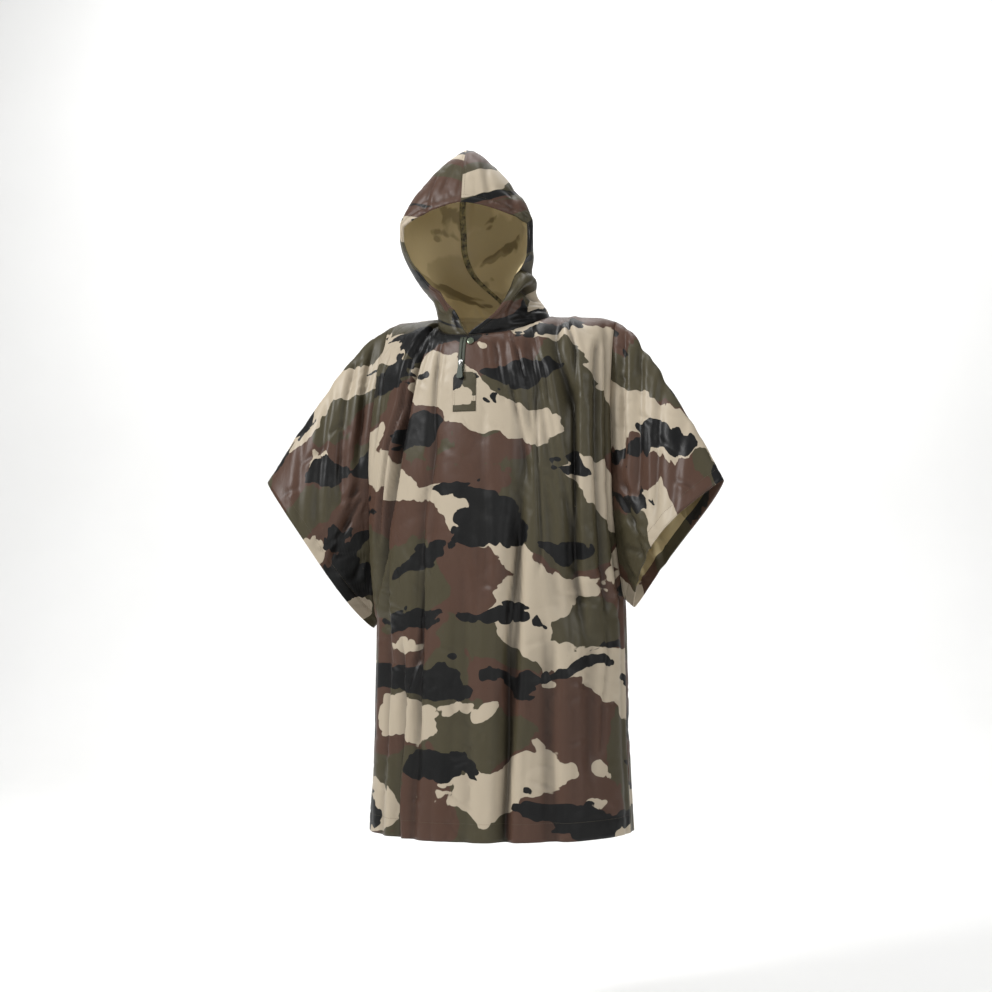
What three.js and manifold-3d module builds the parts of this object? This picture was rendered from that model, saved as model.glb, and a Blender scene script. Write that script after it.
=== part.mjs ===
// Hooded rain poncho with short, very wide sleeves, filled out as worn, in millimetres.
// +Z is up, the front faces -Y and the wearer's left is +X. The origin lies between the shoulders.
// Cloth is a closed wall over a grid of outer points, and neighbouring panels share their seam points.
import * as THREE from 'three';
import { mergeVertices } from 'three/addons/utils/BufferGeometryUtils.js';
import Module from 'manifold-3d';

// Cloth
const clothWall = 1.6;
const seamGap = 0.3;

// Body
const shoulderHalf = 240;
const shoulderEndZ = -14;
const hemZ = -1000;
const armholeDrop = 558;
const armholeHalfDepth = 60;
const openingRoundness = 0.6;
const shoulderRoll = 120;

// Neck ring, from the throat round to the nape
const neckHalf = 104;
const throat = { y: -126, z: -46 };
const nape = { y: 94, z: 20 };
const throatShift = -18;
const neckShare = 0.58;

// Sleeves
const cuffBottom = { x: 274, z: -590 };
const cuffHalfDepth = 56;
const cuffForward = -88;
const frontCuffRise = 14;

// Hood lean and turn, and how far its centre seam lies off the middle at the back
const hoodLean = -48;
const hoodTurn = THREE.MathUtils.degToRad(12);
const hoodAxisY = -55;
const hoodLeanFrom = -20;
const hoodLeanTo = 170;
const hoodSeamShift = -34;

// Number of grid steps
const armholeRows = 16;
const lowerRows = 11;
const shoulderColumns = 5;
const frontNeckColumns = 9;
const backNeckColumns = 5;
const sleeveRings = 10;
const hoodRings = 15;
const sectionSteps = 32;

// Body sections by the drop below the shoulder: half width, and depth in front of and behind the seam
const bodySections = [
  { drop: 0, halfWidth: 240, front: 148, back: 122 },
  { drop: 120, halfWidth: 242, front: 158, back: 140 },
  { drop: 300, halfWidth: 248, front: 168, back: 150 },
  { drop: 560, halfWidth: 254, front: 170, back: 152 },
  { drop: 780, halfWidth: 257, front: 172, back: 160 },
  { drop: 1000, halfWidth: 265, front: 184, back: 176 },
];

// Fold of a sleeve's top, from the shoulder to the cuff
const sleeveTop = [
  { x: 240, z: -14 },
  { x: 276, z: -36 },
  { x: 318, z: -86 },
  { x: 367, z: -160 },
  { x: 418, z: -242 },
  { x: 467, z: -326 },
];

// Face edge of one half of the hood, from the throat to where the brim begins
const faceEdge = [
  { x: 0, y: -126, z: -46 },
  { x: 32, y: -124, z: -12 },
  { x: 62, y: -119, z: 24 },
  { x: 92, y: -109, z: 64 },
  { x: 113, y: -95, z: 104 },
  { x: 122, y: -83, z: 142 },
  { x: 121, y: -80, z: 174 },
];

// Centre seam of the hood, from the nape over the crown to the middle of the brim
const centreSeam = [
  { y: 94, z: 20 },
  { y: 98, z: 82 },
  { y: 94, z: 145 },
  { y: 80, z: 205 },
  { y: 48, z: 260 },
  { y: 4, z: 306 },
  { y: -42, z: 334 },
  { y: -92, z: 300 },
  { y: -126, z: 212 },
];

// Width of the hood and how sharp its ridge is, from the neck to the brim
const hoodWidths = [
  { halfWidth: 104, ridge: 1 },
  { halfWidth: 109, ridge: 1 },
  { halfWidth: 123, ridge: 1 },
  { halfWidth: 131, ridge: 1.2 },
  { halfWidth: 132, ridge: 1.4 },
  { halfWidth: 128, ridge: 1.6 },
  { halfWidth: 121, ridge: 1.5 },
];

// The worn garment hangs a little askew: how much its height changes with x, at several heights
const askew = [
  { z: 80, tilt: 0 },
  { z: 0, tilt: -0.03 },
  { z: -330, tilt: -0.016 },
  { z: -560, tilt: 0.085 },
  { z: -780, tilt: 0.05 },
  { z: -1000, tilt: 0.026 },
];

// Soft troughs in the cloth: from (x, z) at the top to (x, z) at the foot, sideways width and depth
const frontFolds = [
  { topX: -104, topZ: -16, footX: -176, footZ: -330, width: 15, depth: 11 },
  { topX: -150, topZ: -240, footX: -222, footZ: -640, width: 15, depth: 9 },
  { topX: 96, topZ: -16, footX: 150, footZ: -330, width: 15, depth: 11 },
  { topX: 136, topZ: -250, footX: 172, footZ: -620, width: 15, depth: 8 },
  { topX: -62, topZ: -160, footX: -112, footZ: -760, width: 16, depth: 9 },
  { topX: -108, topZ: -700, footX: -128, footZ: -1120, width: 17, depth: 12 },
  { topX: 118, topZ: -140, footX: 76, footZ: -640, width: 16, depth: 9 },
  { topX: 80, topZ: -560, footX: 68, footZ: -1120, width: 17, depth: 13 },
  { topX: -204, topZ: -560, footX: -208, footZ: -1120, width: 14, depth: 9 },
  { topX: 216, topZ: -600, footX: 214, footZ: -900, width: 13, depth: 8 },
];
const backFolds = [
  { topX: -92, topZ: -20, footX: -168, footZ: -420, width: 17, depth: 11 },
  { topX: 88, topZ: -20, footX: 158, footZ: -440, width: 17, depth: 11 },
  { topX: -34, topZ: -260, footX: -64, footZ: -1120, width: 18, depth: 12 },
  { topX: 62, topZ: -330, footX: 84, footZ: -1120, width: 18, depth: 11 },
  { topX: -150, topZ: -520, footX: -176, footZ: -1120, width: 17, depth: 11 },
  { topX: 168, topZ: -560, footX: 186, footZ: -1120, width: 16, depth: 10 },
];
const sleeveFolds = [
  { topX: 262, topZ: -10, footX: 274, footZ: -330, width: 9, depth: 9 },
  { topX: 300, topZ: -40, footX: 306, footZ: -400, width: 11, depth: 11 },
  { topX: 346, topZ: -110, footX: 344, footZ: -440, width: 11, depth: 9 },
];
const hoodFolds = [
  { topX: 68, topZ: 130, footX: -2, footZ: -20, width: 9, depth: 8 },
  { topX: 88, topZ: 96, footX: 26, footZ: -30, width: 8, depth: 6 },
];

// Throat closure
const zipX = -20;
const zipTopZ = -54;
const zipFootZ = -121;
const zipTapeWidth = 6;
const zipSlit = 1;
const zipTapeThickness = 0.9;
const sliderZ = -106;
const studX = -5;
const studZ = -62;
const studRadius = 7;
const patch = { left: -35, right: 11, top: -122, foot: -197, corner: 12, thickness: 1.1 };
const patchSteps = [0, 1.5, 4, 7.5, 12, 27, 42, 57, 72, 75];
const tapeLift = 0.45;
const seamTapeWidth = 12;
const seamTapeThickness = 1;

// Slider, with the arch that holds the pull, in its own frame: x across, y out of the cloth, z up the zip
const slider = { width: 8.5, footWidth: 6.1, length: 13, thickness: 2.8, bevel: 0.5 };
const bridge = { width: 2.6, half: 4.6, wall: 1.3, tunnel: 2.6, sunk: 0.6 };

// Pull, in its own frame: the bar of its eye lies on the pivot axis, and the tab hangs down -z
const pull = {
  barRadius: 0.8,
  eyeHalf: 2.1,
  armWidth: 1.4,
  eyeLength: 6.2,
  length: 29,
  topHalf: 4,
  footHalf: 6.2,
  corner: 4,
  thickness: 1.6,
};
const pivotLift = slider.thickness + 1.25;

// Outline of the stud from its axis at the foot to its axis at the top
const studProfile = [
  new THREE.Vector2(0, 0),
  new THREE.Vector2(studRadius - 1, 0),
  new THREE.Vector2(studRadius, 0.8),
  new THREE.Vector2(studRadius, 1.6),
  new THREE.Vector2(studRadius - 0.8, 2.4),
  new THREE.Vector2(studRadius - 2.6, 2.9),
  new THREE.Vector2(0, 3.1),
];

const clamp01 = (value) => Math.min(1, Math.max(0, value));
const mix = (from, to, share) => from + (to - from) * share;
const smooth = (value) => clamp01(value) ** 2 * (3 - 2 * clamp01(value));

// Even Catmull-Rom run through a table's rows, for one of its columns
function curveAt(rows, column, share) {
  const last = rows.length - 1;
  const place = clamp01(share) * last;
  const index = Math.min(Math.floor(place), last - 1);
  const t = place - index;
  const value = (row) => rows[Math.min(Math.max(row, 0), last)][column];
  const before = index > 0 ? value(index - 1) : 2 * value(0) - value(1);
  const after = index < last - 1 ? value(index + 2) : 2 * value(last) - value(last - 1);
  const start = value(index);
  const end = value(index + 1);
  return 0.5 * (2 * start + (end - before) * t + (2 * before - 5 * start + 4 * end - after) * t * t
    + (3 * start - before - 3 * end + after) * t * t * t);
}

function pointAt(rows, share) {
  return Object.fromEntries(Object.keys(rows[0]).map((column) => [column, curveAt(rows, column, share)]));
}

// Value of a column of the body table at a drop
function bodyAt(column, drop) {
  let row = 0;
  while (row < bodySections.length - 2 && drop > bodySections[row + 1].drop) row += 1;
  const upper = bodySections[row];
  const lower = bodySections[row + 1];
  return mix(upper[column], lower[column], smooth((drop - upper.drop) / (lower.drop - upper.drop)));
}

// Inward depth of all the troughs of a table at a point
function foldDepth(folds, x, z) {
  let depth = 0;
  for (const fold of folds) {
    const along = (fold.topZ - z) / (fold.topZ - fold.footZ);
    if (along <= 0 || along >= 1) continue;
    const centre = mix(fold.topX, fold.footX, along);
    const fade = smooth(along * 5) * smooth((1 - along) * 4);
    depth += fold.depth * fade * Math.exp(-(((x - centre) / fold.width) ** 2));
  }
  return depth;
}

// Neckline point at an angle from the throat (0) to the nape (pi), on one side
function neckPoint(angle, side) {
  const middleY = (throat.y + nape.y) / 2;
  const middleZ = (throat.z + nape.z) / 2;
  const y = middleY - (nape.y - throat.y) / 2 * Math.cos(angle);
  const shift = throatShift * smooth(y / throat.y);
  return new THREE.Vector3(
    side * neckHalf * Math.sin(angle) + shift,
    y,
    middleZ - (nape.z - throat.z) / 2 * Math.cos(angle),
  );
}

// The neckline meets the shoulder seam where it crosses y = 0
const shoulderAngle = Math.acos((throat.y + nape.y) / (nape.y - throat.y));

// Half depth of the armhole at a drop below the shoulder
function armholeDepth(drop) {
  const share = clamp01(drop / armholeDrop);
  return armholeHalfDepth * Math.sin(Math.PI * share) ** openingRoundness;
}

// Share by which the cloth has rolled over the shoulder at a drop below its edge
function rollAt(drop) {
  return Math.sqrt(1 - (1 - clamp01(drop / shoulderRoll)) ** 2);
}

// Half distance between the armholes at a drop below the shoulder
function armholeX(drop) {
  return mix(shoulderHalf, bodyAt('halfWidth', drop), rollAt(drop));
}

// Point of a body section: 'across' runs from -1 to 1 between the side edges, by arc length
function sectionPoint(face, across, drop) {
  const halfWidth = bodyAt('halfWidth', drop);
  const edge = armholeDepth(drop);
  const depth = bodyAt(face, drop);
  const xs = [];
  const ys = [];
  const run = [0];
  for (let i = 0; i <= sectionSteps; i += 1) {
    const angle = i / sectionSteps * Math.PI / 2;
    xs.push(halfWidth * Math.sin(angle));
    ys.push(edge * Math.sin(angle) ** 4 + depth * Math.cos(angle));
    if (i > 0) run.push(run[i - 1] + Math.hypot(xs[i] - xs[i - 1], ys[i] - ys[i - 1]));
  }
  const wanted = Math.abs(across) * run[sectionSteps];
  let i = 0;
  while (i < sectionSteps - 1 && run[i + 1] < wanted) i += 1;
  const share = (wanted - run[i]) / (run[i + 1] - run[i]);
  return { x: Math.sign(across) * mix(xs[i], xs[i + 1], share), y: mix(ys[i], ys[i + 1], share) };
}

// Point of the front or back without its folds; 'down' runs from 0 at the top edge to 1 at the hem
function panelPoint(face, column, down) {
  const forward = face === 'front' ? -1 : 1;
  const drop = down * (shoulderEndZ - hemZ);
  const roll = rollAt(drop);
  const section = sectionPoint(face, column.across, drop);
  const edge = armholeDepth(drop);
  const topY = column.top.y * forward;
  const shift = face === 'front' ? throatShift * Math.cos(column.across * Math.PI / 2) ** 2 : 0;
  const x = mix(column.top.x, section.x + shift, roll);
  const y = forward * (edge + mix(topY, section.y - edge, roll));
  const z = mix(column.top.z, hemZ, down);
  return new THREE.Vector3(x, y, z);
}

// Columns of the front or back, from the right armhole to the left one
function panelColumns(face) {
  const neckColumns = face === 'front' ? frontNeckColumns : backNeckColumns;
  const middleAngle = face === 'front' ? 0 : Math.PI;
  const columns = [];
  for (const side of [-1, 1]) {
    const half = [];
    const neckEnd = neckPoint(shoulderAngle, side);
    for (let i = 0; i < shoulderColumns; i += 1) {
      const share = i / shoulderColumns;
      const top = new THREE.Vector3(
        mix(side * shoulderHalf, neckEnd.x, share),
        mix(0, neckEnd.y, share),
        mix(shoulderEndZ, neckEnd.z, share),
      );
      half.push({ across: side * mix(1, neckShare, share), top });
    }
    for (let i = 0; i < neckColumns; i += 1) {
      const share = i / neckColumns;
      half.push({
        across: side * mix(neckShare, 0, share),
        top: neckPoint(mix(shoulderAngle, middleAngle, share), side),
      });
    }
    if (side < 0) columns.push(...half, { across: 0, top: neckPoint(middleAngle, 1) });
    else columns.push(...half.reverse());
  }
  return columns;
}

// Shares of the panel's height, closer together over the shoulder and at the underarm
function panelRows() {
  const armholeShare = armholeDrop / (shoulderEndZ - hemZ);
  const rows = [];
  for (let i = 0; i < armholeRows; i += 1) {
    rows.push(armholeShare * (1 - Math.cos(Math.PI * i / armholeRows)) / 2);
  }
  for (let i = 0; i <= lowerRows; i += 1) rows.push(mix(armholeShare, 1, i / lowerRows));
  return rows;
}

// Sleeve point: 'out' from armhole to cuff, 'chord' from the top fold to the underarm, forward -1 or 1
function sleevePoint(out, chord, forward) {
  const topX = curveAt(sleeveTop, 'x', out);
  const topZ = curveAt(sleeveTop, 'z', out);
  const underX = mix(armholeX(armholeDrop), cuffBottom.x, out);
  const underZ = mix(shoulderEndZ - armholeDrop, cuffBottom.z, out);
  const drop = chord * armholeDrop;
  const bend = Math.sin(Math.PI * chord);
  const straightX = mix(topX, underX, chord);
  const armBow = (armholeX(drop) - mix(shoulderHalf, armholeX(armholeDrop), chord)) * (1 - out);
  const rise = forward < 0 ? frontCuffRise * smooth(out * 2 - 1) * bend : 0;
  const halfDepth = mix(armholeDepth(drop), cuffHalfDepth * bend ** openingRoundness, out);
  return new THREE.Vector3(
    straightX + armBow - rise,
    forward * halfDepth + cuffForward * out * (1 - chord * chord),
    mix(topZ, underZ, chord) + rise,
  );
}

// Hood leans to the right and turns to the left above the neck
function leanHood(point) {
  const share = smooth((point.z - hoodLeanFrom) / (hoodLeanTo - hoodLeanFrom));
  const angle = hoodTurn * share;
  const x = point.x;
  const y = point.y - hoodAxisY;
  return new THREE.Vector3(
    x * Math.cos(angle) - y * Math.sin(angle) + hoodLean * share,
    x * Math.sin(angle) + y * Math.cos(angle) + hoodAxisY,
    point.z,
  );
}

// Hood point: 'up' from the neckline to the brim, 'round' from the face edge to the centre seam
function hoodPoint(up, round, side) {
  const edge = pointAt(faceEdge, up);
  const seam = pointAt(centreSeam, up);
  const ridge = curveAt(hoodWidths, 'ridge', up);
  const halfWidth = Math.max(curveAt(hoodWidths, 'halfWidth', up), edge.x);
  const start = Math.asin(clamp01(edge.x / halfWidth));
  const angle = mix(start, Math.PI, round);
  const bent = (value) => Math.sign(value) * Math.abs(value) ** (angle > Math.PI / 2 ? ridge : 1);
  const toFront = Math.cos(start);
  const middleY = (edge.y + seam.y * toFront) / (1 + toFront);
  const middleZ = (edge.z + seam.z * toFront) / (1 + toFront);
  const point = new THREE.Vector3(
    side * halfWidth * bent(Math.sin(angle)),
    middleY - (seam.y - middleY) * bent(Math.cos(angle)),
    middleZ - (seam.z - middleZ) * bent(Math.cos(angle)),
  );
  const shift = throatShift * smooth(point.y / throat.y) * (1 - smooth(up * 4));
  const leaned = leanHood(point);
  leaned.x += shift + hoodSeamShift * smooth(round) * smooth(up * 5) * smooth((0.8 - up) * 2.5);
  return leaned;
}

// Unit normals of a grid, pointing away from its inside
function gridNormals(grid, closed, outward) {
  const rows = grid.length;
  const columns = grid[0].length;
  return grid.map((line, i) => line.map((point, j) => {
    const down = grid[Math.min(i + 1, rows - 1)][j].clone().sub(grid[Math.max(i - 1, 0)][j]);
    const next = closed ? (j + 1) % columns : Math.min(j + 1, columns - 1);
    const last = closed ? (j + columns - 1) % columns : Math.max(j - 1, 0);
    const side = line[next].clone().sub(line[last]);
    return side.cross(down).multiplyScalar(outward).normalize();
  }));
}

// Moves a grid in by its troughs
function foldGrid(grid, closed, outward, depthAt) {
  const normals = gridNormals(grid, closed, outward);
  return grid.map((line, i) => line.map((point, j) => (
    point.clone().addScaledVector(normals[i][j], -depthAt(point, i, j))
  )));
}

// Closed wall between an outer grid and the same grid moved in, its open edges drawn back half a seam gap.
// Rim quads are split by the rank of their corners, so that both sides of a seam split alike.
function wallGeometry(grid, normals, closed, thickness, edgeGap) {
  const rows = grid.length;
  const columns = grid[0].length;
  const positions = [];
  const index = [];
  const pull = (point, towards) => {
    const step = towards.clone().sub(point);
    return step.multiplyScalar(edgeGap / step.length());
  };
  const outer = grid.map((line, i) => line.map((point, j) => {
    const moved = point.clone();
    if (edgeGap > 0 && i === 0) moved.add(pull(point, grid[1][j]));
    if (edgeGap > 0 && i === rows - 1) moved.add(pull(point, grid[rows - 2][j]));
    if (edgeGap > 0 && !closed && j === 0) moved.add(pull(point, line[1]));
    if (edgeGap > 0 && !closed && j === columns - 1) moved.add(pull(point, line[columns - 2]));
    return moved;
  }));
  for (const line of outer) for (const point of line) positions.push(point.x, point.y, point.z);
  outer.forEach((line, i) => line.forEach((point, j) => {
    const inner = point.clone().addScaledVector(normals[i][j], -thickness);
    positions.push(inner.x, inner.y, inner.z);
  }));
  const innerStart = rows * columns;
  const at = (i, j) => i * columns + (j % columns);
  const quad = (a, b, c, d) => index.push(a, b, c, a, c, d);
  const spans = closed ? columns : columns - 1;
  for (let i = 0; i < rows - 1; i += 1) {
    for (let j = 0; j < spans; j += 1) {
      quad(at(i, j), at(i + 1, j), at(i + 1, j + 1), at(i, j + 1));
      const inside = [at(i, j), at(i, j + 1), at(i + 1, j + 1), at(i + 1, j)].map((v) => v + innerStart);
      index.push(inside[0], inside[1], inside[2], inside[0], inside[2], inside[3]);
    }
  }
  const rank = (v) => positions[v * 3 + 2] * 8 + positions[v * 3] + positions[v * 3 + 1] / 4;
  const rim = (a, b) => {
    if (rank(a) > rank(b)) quad(a, b, b + innerStart, a + innerStart);
    else quad(b, b + innerStart, a + innerStart, a);
  };
  for (let j = 0; j < spans; j += 1) {
    rim(at(0, j), at(0, j + 1));
    rim(at(rows - 1, j + 1), at(rows - 1, j));
  }
  if (!closed) {
    for (let i = 0; i < rows - 1; i += 1) {
      rim(at(i + 1, 0), at(i, 0));
      rim(at(i, columns - 1), at(i + 1, columns - 1));
    }
  }
  const geometry = new THREE.BufferGeometry();
  geometry.setAttribute('position', new THREE.Float32BufferAttribute(positions, 3));
  geometry.setIndex(index);
  return facedOut(geometry);
}

// Turns all faces over where the enclosed volume comes out negative
function facedOut(geometry) {
  const position = geometry.getAttribute('position');
  const index = Array.from(geometry.getIndex().array);
  const corner = (k) => new THREE.Vector3().fromBufferAttribute(position, index[k]);
  let volume = 0;
  for (let k = 0; k < index.length; k += 3) {
    volume += corner(k).dot(corner(k + 1).cross(corner(k + 2)));
  }
  if (volume < 0) {
    for (let k = 0; k < index.length; k += 3) {
      [index[k + 1], index[k + 2]] = [index[k + 2], index[k + 1]];
    }
    geometry.setIndex(index);
  }
  return geometry;
}

// Lets a point hang askew
function hangAskew(point) {
  const z = Math.min(askew[0].z, Math.max(hemZ, point.z));
  const row = askew.findIndex((entry, i) => i > 0 && z >= entry.z);
  const upper = askew[row - 1];
  const lower = askew[row];
  const tilt = mix(lower.tilt, upper.tilt, smooth((z - lower.z) / (upper.z - lower.z)));
  return new THREE.Vector3(point.x, point.y, point.z + tilt * point.x);
}

// Cloth panels as grids of outer points
const rowShares = panelRows();

function bodyPanel(face, folds) {
  const columns = panelColumns(face);
  const grid = rowShares.map((down) => (
    columns.map((column) => hangAskew(panelPoint(face, column, down)))
  ));
  const outward = face === 'front' ? 1 : -1;
  const last = columns.length - 1;
  const depthAt = (point, i, j) => (
    i === 0 || j === 0 || j === last ? 0 : foldDepth(folds, point.x, point.z)
  );
  return { grid: foldGrid(grid, false, -outward, depthAt), closed: false, outward: -outward };
}

function sleevePanel(side) {
  const chords = rowShares.slice(0, armholeRows + 1).map((share) => share / rowShares[armholeRows]);
  const ring = [
    ...chords.map((chord) => ({ chord, forward: -1 })),
    ...chords.slice(1, -1).reverse().map((chord) => ({ chord, forward: 1 })),
  ];
  const grid = [];
  for (let i = 0; i <= sleeveRings; i += 1) {
    grid.push(ring.map(({ chord, forward }) => {
      const point = sleevePoint(i / sleeveRings, chord, forward);
      return hangAskew(new THREE.Vector3(side * point.x, point.y, point.z));
    }));
  }
  const outward = side;
  const depthAt = (point, i) => (
    i === 0 ? 0 : foldDepth(sleeveFolds, Math.abs(point.x), point.z) * smooth(i / 2)
  );
  return { grid: foldGrid(grid, true, outward, depthAt), closed: true, outward };
}

function hoodPanel(side) {
  const rounds = [];
  for (let i = 0; i <= frontNeckColumns; i += 1) {
    rounds.push(mix(0, shoulderAngle, i / frontNeckColumns) / Math.PI);
  }
  for (let i = 1; i <= backNeckColumns; i += 1) {
    rounds.push(mix(shoulderAngle, Math.PI, i / backNeckColumns) / Math.PI);
  }
  const grid = [];
  for (let i = 0; i <= hoodRings; i += 1) {
    grid.push(rounds.map((round) => hangAskew(
      i === 0 ? neckPoint(round * Math.PI, side) : hoodPoint(i / hoodRings, round, side),
    )));
  }
  const last = rounds.length - 1;
  const depthAt = (point, i, j) => {
    if (side < 0 || i === 0 || j === last || point.y > 0) return 0;
    return foldDepth(hoodFolds, point.x, point.z);
  };
  return { grid: foldGrid(grid, false, side, depthAt), closed: false, outward: side };
}

const panels = {
  front_panel: bodyPanel('front', frontFolds),
  back_panel: bodyPanel('back', backFolds),
  sleeve_left: sleevePanel(1),
  sleeve_right: sleevePanel(-1),
  hood_left: hoodPanel(1),
  hood_right: hoodPanel(-1),
};

// Panels that meet at a seam point share the mean of their normals there
const seamSums = new Map();
const seamKey = (point) => point.toArray().map((value) => Math.round(value * 20)).join(' ');
for (const panel of Object.values(panels)) {
  panel.normals = gridNormals(panel.grid, panel.closed, panel.outward);
  panel.grid.forEach((line, i) => line.forEach((point, j) => {
    const key = seamKey(point);
    if (!seamSums.has(key)) seamSums.set(key, new THREE.Vector3());
    seamSums.get(key).add(panel.normals[i][j]);
  }));
}
for (const panel of Object.values(panels)) {
  panel.grid.forEach((line, i) => line.forEach((point, j) => {
    panel.normals[i][j] = seamSums.get(seamKey(point)).clone().normalize();
  }));
}

// Place on the front's outer side at x and z, with the outward normal and the direction down the cloth
const frontColumns = panelColumns('front');

function onFront(x, z) {
  const columnAt = (across) => {
    const place = frontColumns.findIndex((column) => column.across >= across);
    const right = frontColumns[Math.max(place, 1)];
    const left = frontColumns[Math.max(place, 1) - 1];
    const share = (across - left.across) / (right.across - left.across);
    return { across, top: left.top.clone().lerp(right.top, share) };
  };
  const surface = (across, height) => {
    const column = columnAt(across);
    return hangAskew(panelPoint('front', column, (column.top.z - height) / (column.top.z - hemZ)));
  };
  let low = -0.6;
  let high = 0.6;
  for (let i = 0; i < 30; i += 1) {
    const middle = (low + high) / 2;
    if (surface(middle, z).x < x) low = middle;
    else high = middle;
  }
  const step = 2;
  const at = (across, height) => {
    const point = surface(across, height);
    point.y += foldDepth(frontFolds, point.x, point.z);
    return point;
  };
  const point = at(low, z);
  const down = at(low, z - step).sub(at(low, z + step)).normalize();
  const sideways = at(low + 0.01, z).sub(at(low - 0.01, z)).normalize();
  const normal = down.clone().cross(sideways).normalize();
  return { point, normal, down };
}

// Strip or patch that lies on the front over a grid of x and z, its rows drawn in by an inset
function frontPatch(xs, zs, lift, thickness, insetAt) {
  const middle = (xs[0] + xs[xs.length - 1]) / 2;
  const half = (xs[xs.length - 1] - xs[0]) / 2;
  const grid = [];
  const normals = [];
  for (const z of zs) {
    const share = 1 - insetAt(z) / half;
    const places = xs.map((x) => onFront(middle + (x - middle) * share, z));
    grid.push(places.map(({ point, normal }) => point.clone().addScaledVector(normal, lift + thickness)));
    normals.push(places.map(({ normal }) => normal));
  }
  return wallGeometry(grid, normals, false, thickness, 0);
}

const range = (from, to, steps) => Array.from({ length: steps + 1 }, (_, i) => mix(from, to, i / steps));

// Booleans for the small hard pieces
const wasm = await Module();
wasm.setup();

function toSolid(geometry) {
  const bare = geometry.clone();
  bare.deleteAttribute('normal');
  bare.deleteAttribute('uv');
  const merged = mergeVertices(bare, 1e-4);
  return new wasm.Manifold(new wasm.Mesh({
    numProp: 3,
    vertProperties: new Float32Array(merged.getAttribute('position').array),
    triVerts: new Uint32Array(merged.getIndex().array),
  }));
}

function toGeometry(solid) {
  const mesh = solid.getMesh();
  const geometry = new THREE.BufferGeometry();
  geometry.setAttribute('position', new THREE.Float32BufferAttribute(mesh.vertProperties, 3));
  geometry.setIndex(Array.from(mesh.triVerts));
  return geometry;
}

// Slider plate with its bridge
function sliderGeometry() {
  const outline = new THREE.Shape();
  const halfTop = slider.width / 2;
  const halfFoot = slider.footWidth / 2;
  const half = slider.length / 2;
  outline.moveTo(-halfFoot, -half);
  outline.lineTo(halfFoot, -half);
  outline.lineTo(halfTop, half - 4);
  outline.quadraticCurveTo(halfTop, half, halfTop - 2, half);
  outline.lineTo(-halfTop + 2, half);
  outline.quadraticCurveTo(-halfTop, half, -halfTop, half - 4);
  outline.closePath();
  const plate = new THREE.ExtrudeGeometry(outline, {
    depth: slider.thickness - 2 * slider.bevel,
    bevelEnabled: true,
    bevelSize: 0.4,
    bevelThickness: slider.bevel,
    bevelSegments: 2,
    curveSegments: 5,
  });
  plate.rotateX(Math.PI / 2).translate(0, slider.thickness - slider.bevel, 0);
  const arch = new THREE.Shape();
  const inner = bridge.half - bridge.wall;
  const top = bridge.tunnel + bridge.wall;
  arch.moveTo(-bridge.half, -bridge.sunk);
  arch.lineTo(-bridge.half, bridge.tunnel - bridge.sunk);
  arch.quadraticCurveTo(-bridge.half, top, -bridge.half + 2, top);
  arch.lineTo(bridge.half - 2, top);
  arch.quadraticCurveTo(bridge.half, top, bridge.half, bridge.tunnel - bridge.sunk);
  arch.lineTo(bridge.half, -bridge.sunk);
  arch.lineTo(inner, -bridge.sunk);
  arch.lineTo(inner, bridge.tunnel);
  arch.lineTo(-inner, bridge.tunnel);
  arch.lineTo(-inner, -bridge.sunk);
  arch.closePath();
  const archSettings = { depth: bridge.width, bevelEnabled: false, curveSegments: 5 };
  const archGeometry = new THREE.ExtrudeGeometry(arch, archSettings);
  archGeometry.rotateY(-Math.PI / 2).translate(bridge.width / 2, slider.thickness, 0);
  return toGeometry(toSolid(plate).add(toSolid(archGeometry)));
}

// Tapered pull with an open eye and its bar
function pullGeometry() {
  const outline = new THREE.Shape();
  const armOuter = pull.eyeHalf + pull.armWidth;
  outline.moveTo(-armOuter, 0);
  outline.lineTo(-armOuter, -pull.eyeLength + 1);
  outline.lineTo(-pull.topHalf, -pull.eyeLength - 1);
  outline.lineTo(-pull.footHalf, -pull.length + pull.corner);
  outline.quadraticCurveTo(-pull.footHalf, -pull.length, -pull.footHalf + pull.corner, -pull.length);
  outline.lineTo(pull.footHalf - pull.corner, -pull.length);
  outline.quadraticCurveTo(pull.footHalf, -pull.length, pull.footHalf, -pull.length + pull.corner);
  outline.lineTo(pull.topHalf, -pull.eyeLength - 1);
  outline.lineTo(armOuter, -pull.eyeLength + 1);
  outline.lineTo(armOuter, 0);
  outline.closePath();
  const plateSettings = { depth: pull.thickness, bevelEnabled: false, curveSegments: 6 };
  const plate = new THREE.ExtrudeGeometry(outline, plateSettings);
  plate.rotateX(Math.PI / 2).translate(0, pull.thickness / 2, 0);
  const eyeHeight = pull.eyeLength + 2;
  const eye = new THREE.BoxGeometry(pull.eyeHalf * 2, pull.thickness * 2, eyeHeight);
  eye.translate(0, 0, eyeHeight / 2 - pull.eyeLength);
  const bar = new THREE.CylinderGeometry(pull.barRadius, pull.barRadius, armOuter * 2, 12);
  bar.rotateZ(Math.PI / 2);
  return toGeometry(toSolid(plate).subtract(toSolid(eye)).add(toSolid(bar)));
}

// Materials by finish
function cloth(colour) {
  return new THREE.MeshStandardMaterial({ color: colour, roughness: 0.5, metalness: 0 });
}

const garment = new THREE.Group();

function addMesh(parent, name, geometry, material) {
  const mesh = new THREE.Mesh(geometry, material);
  mesh.name = name;
  parent.add(mesh);
  return mesh;
}

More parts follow.
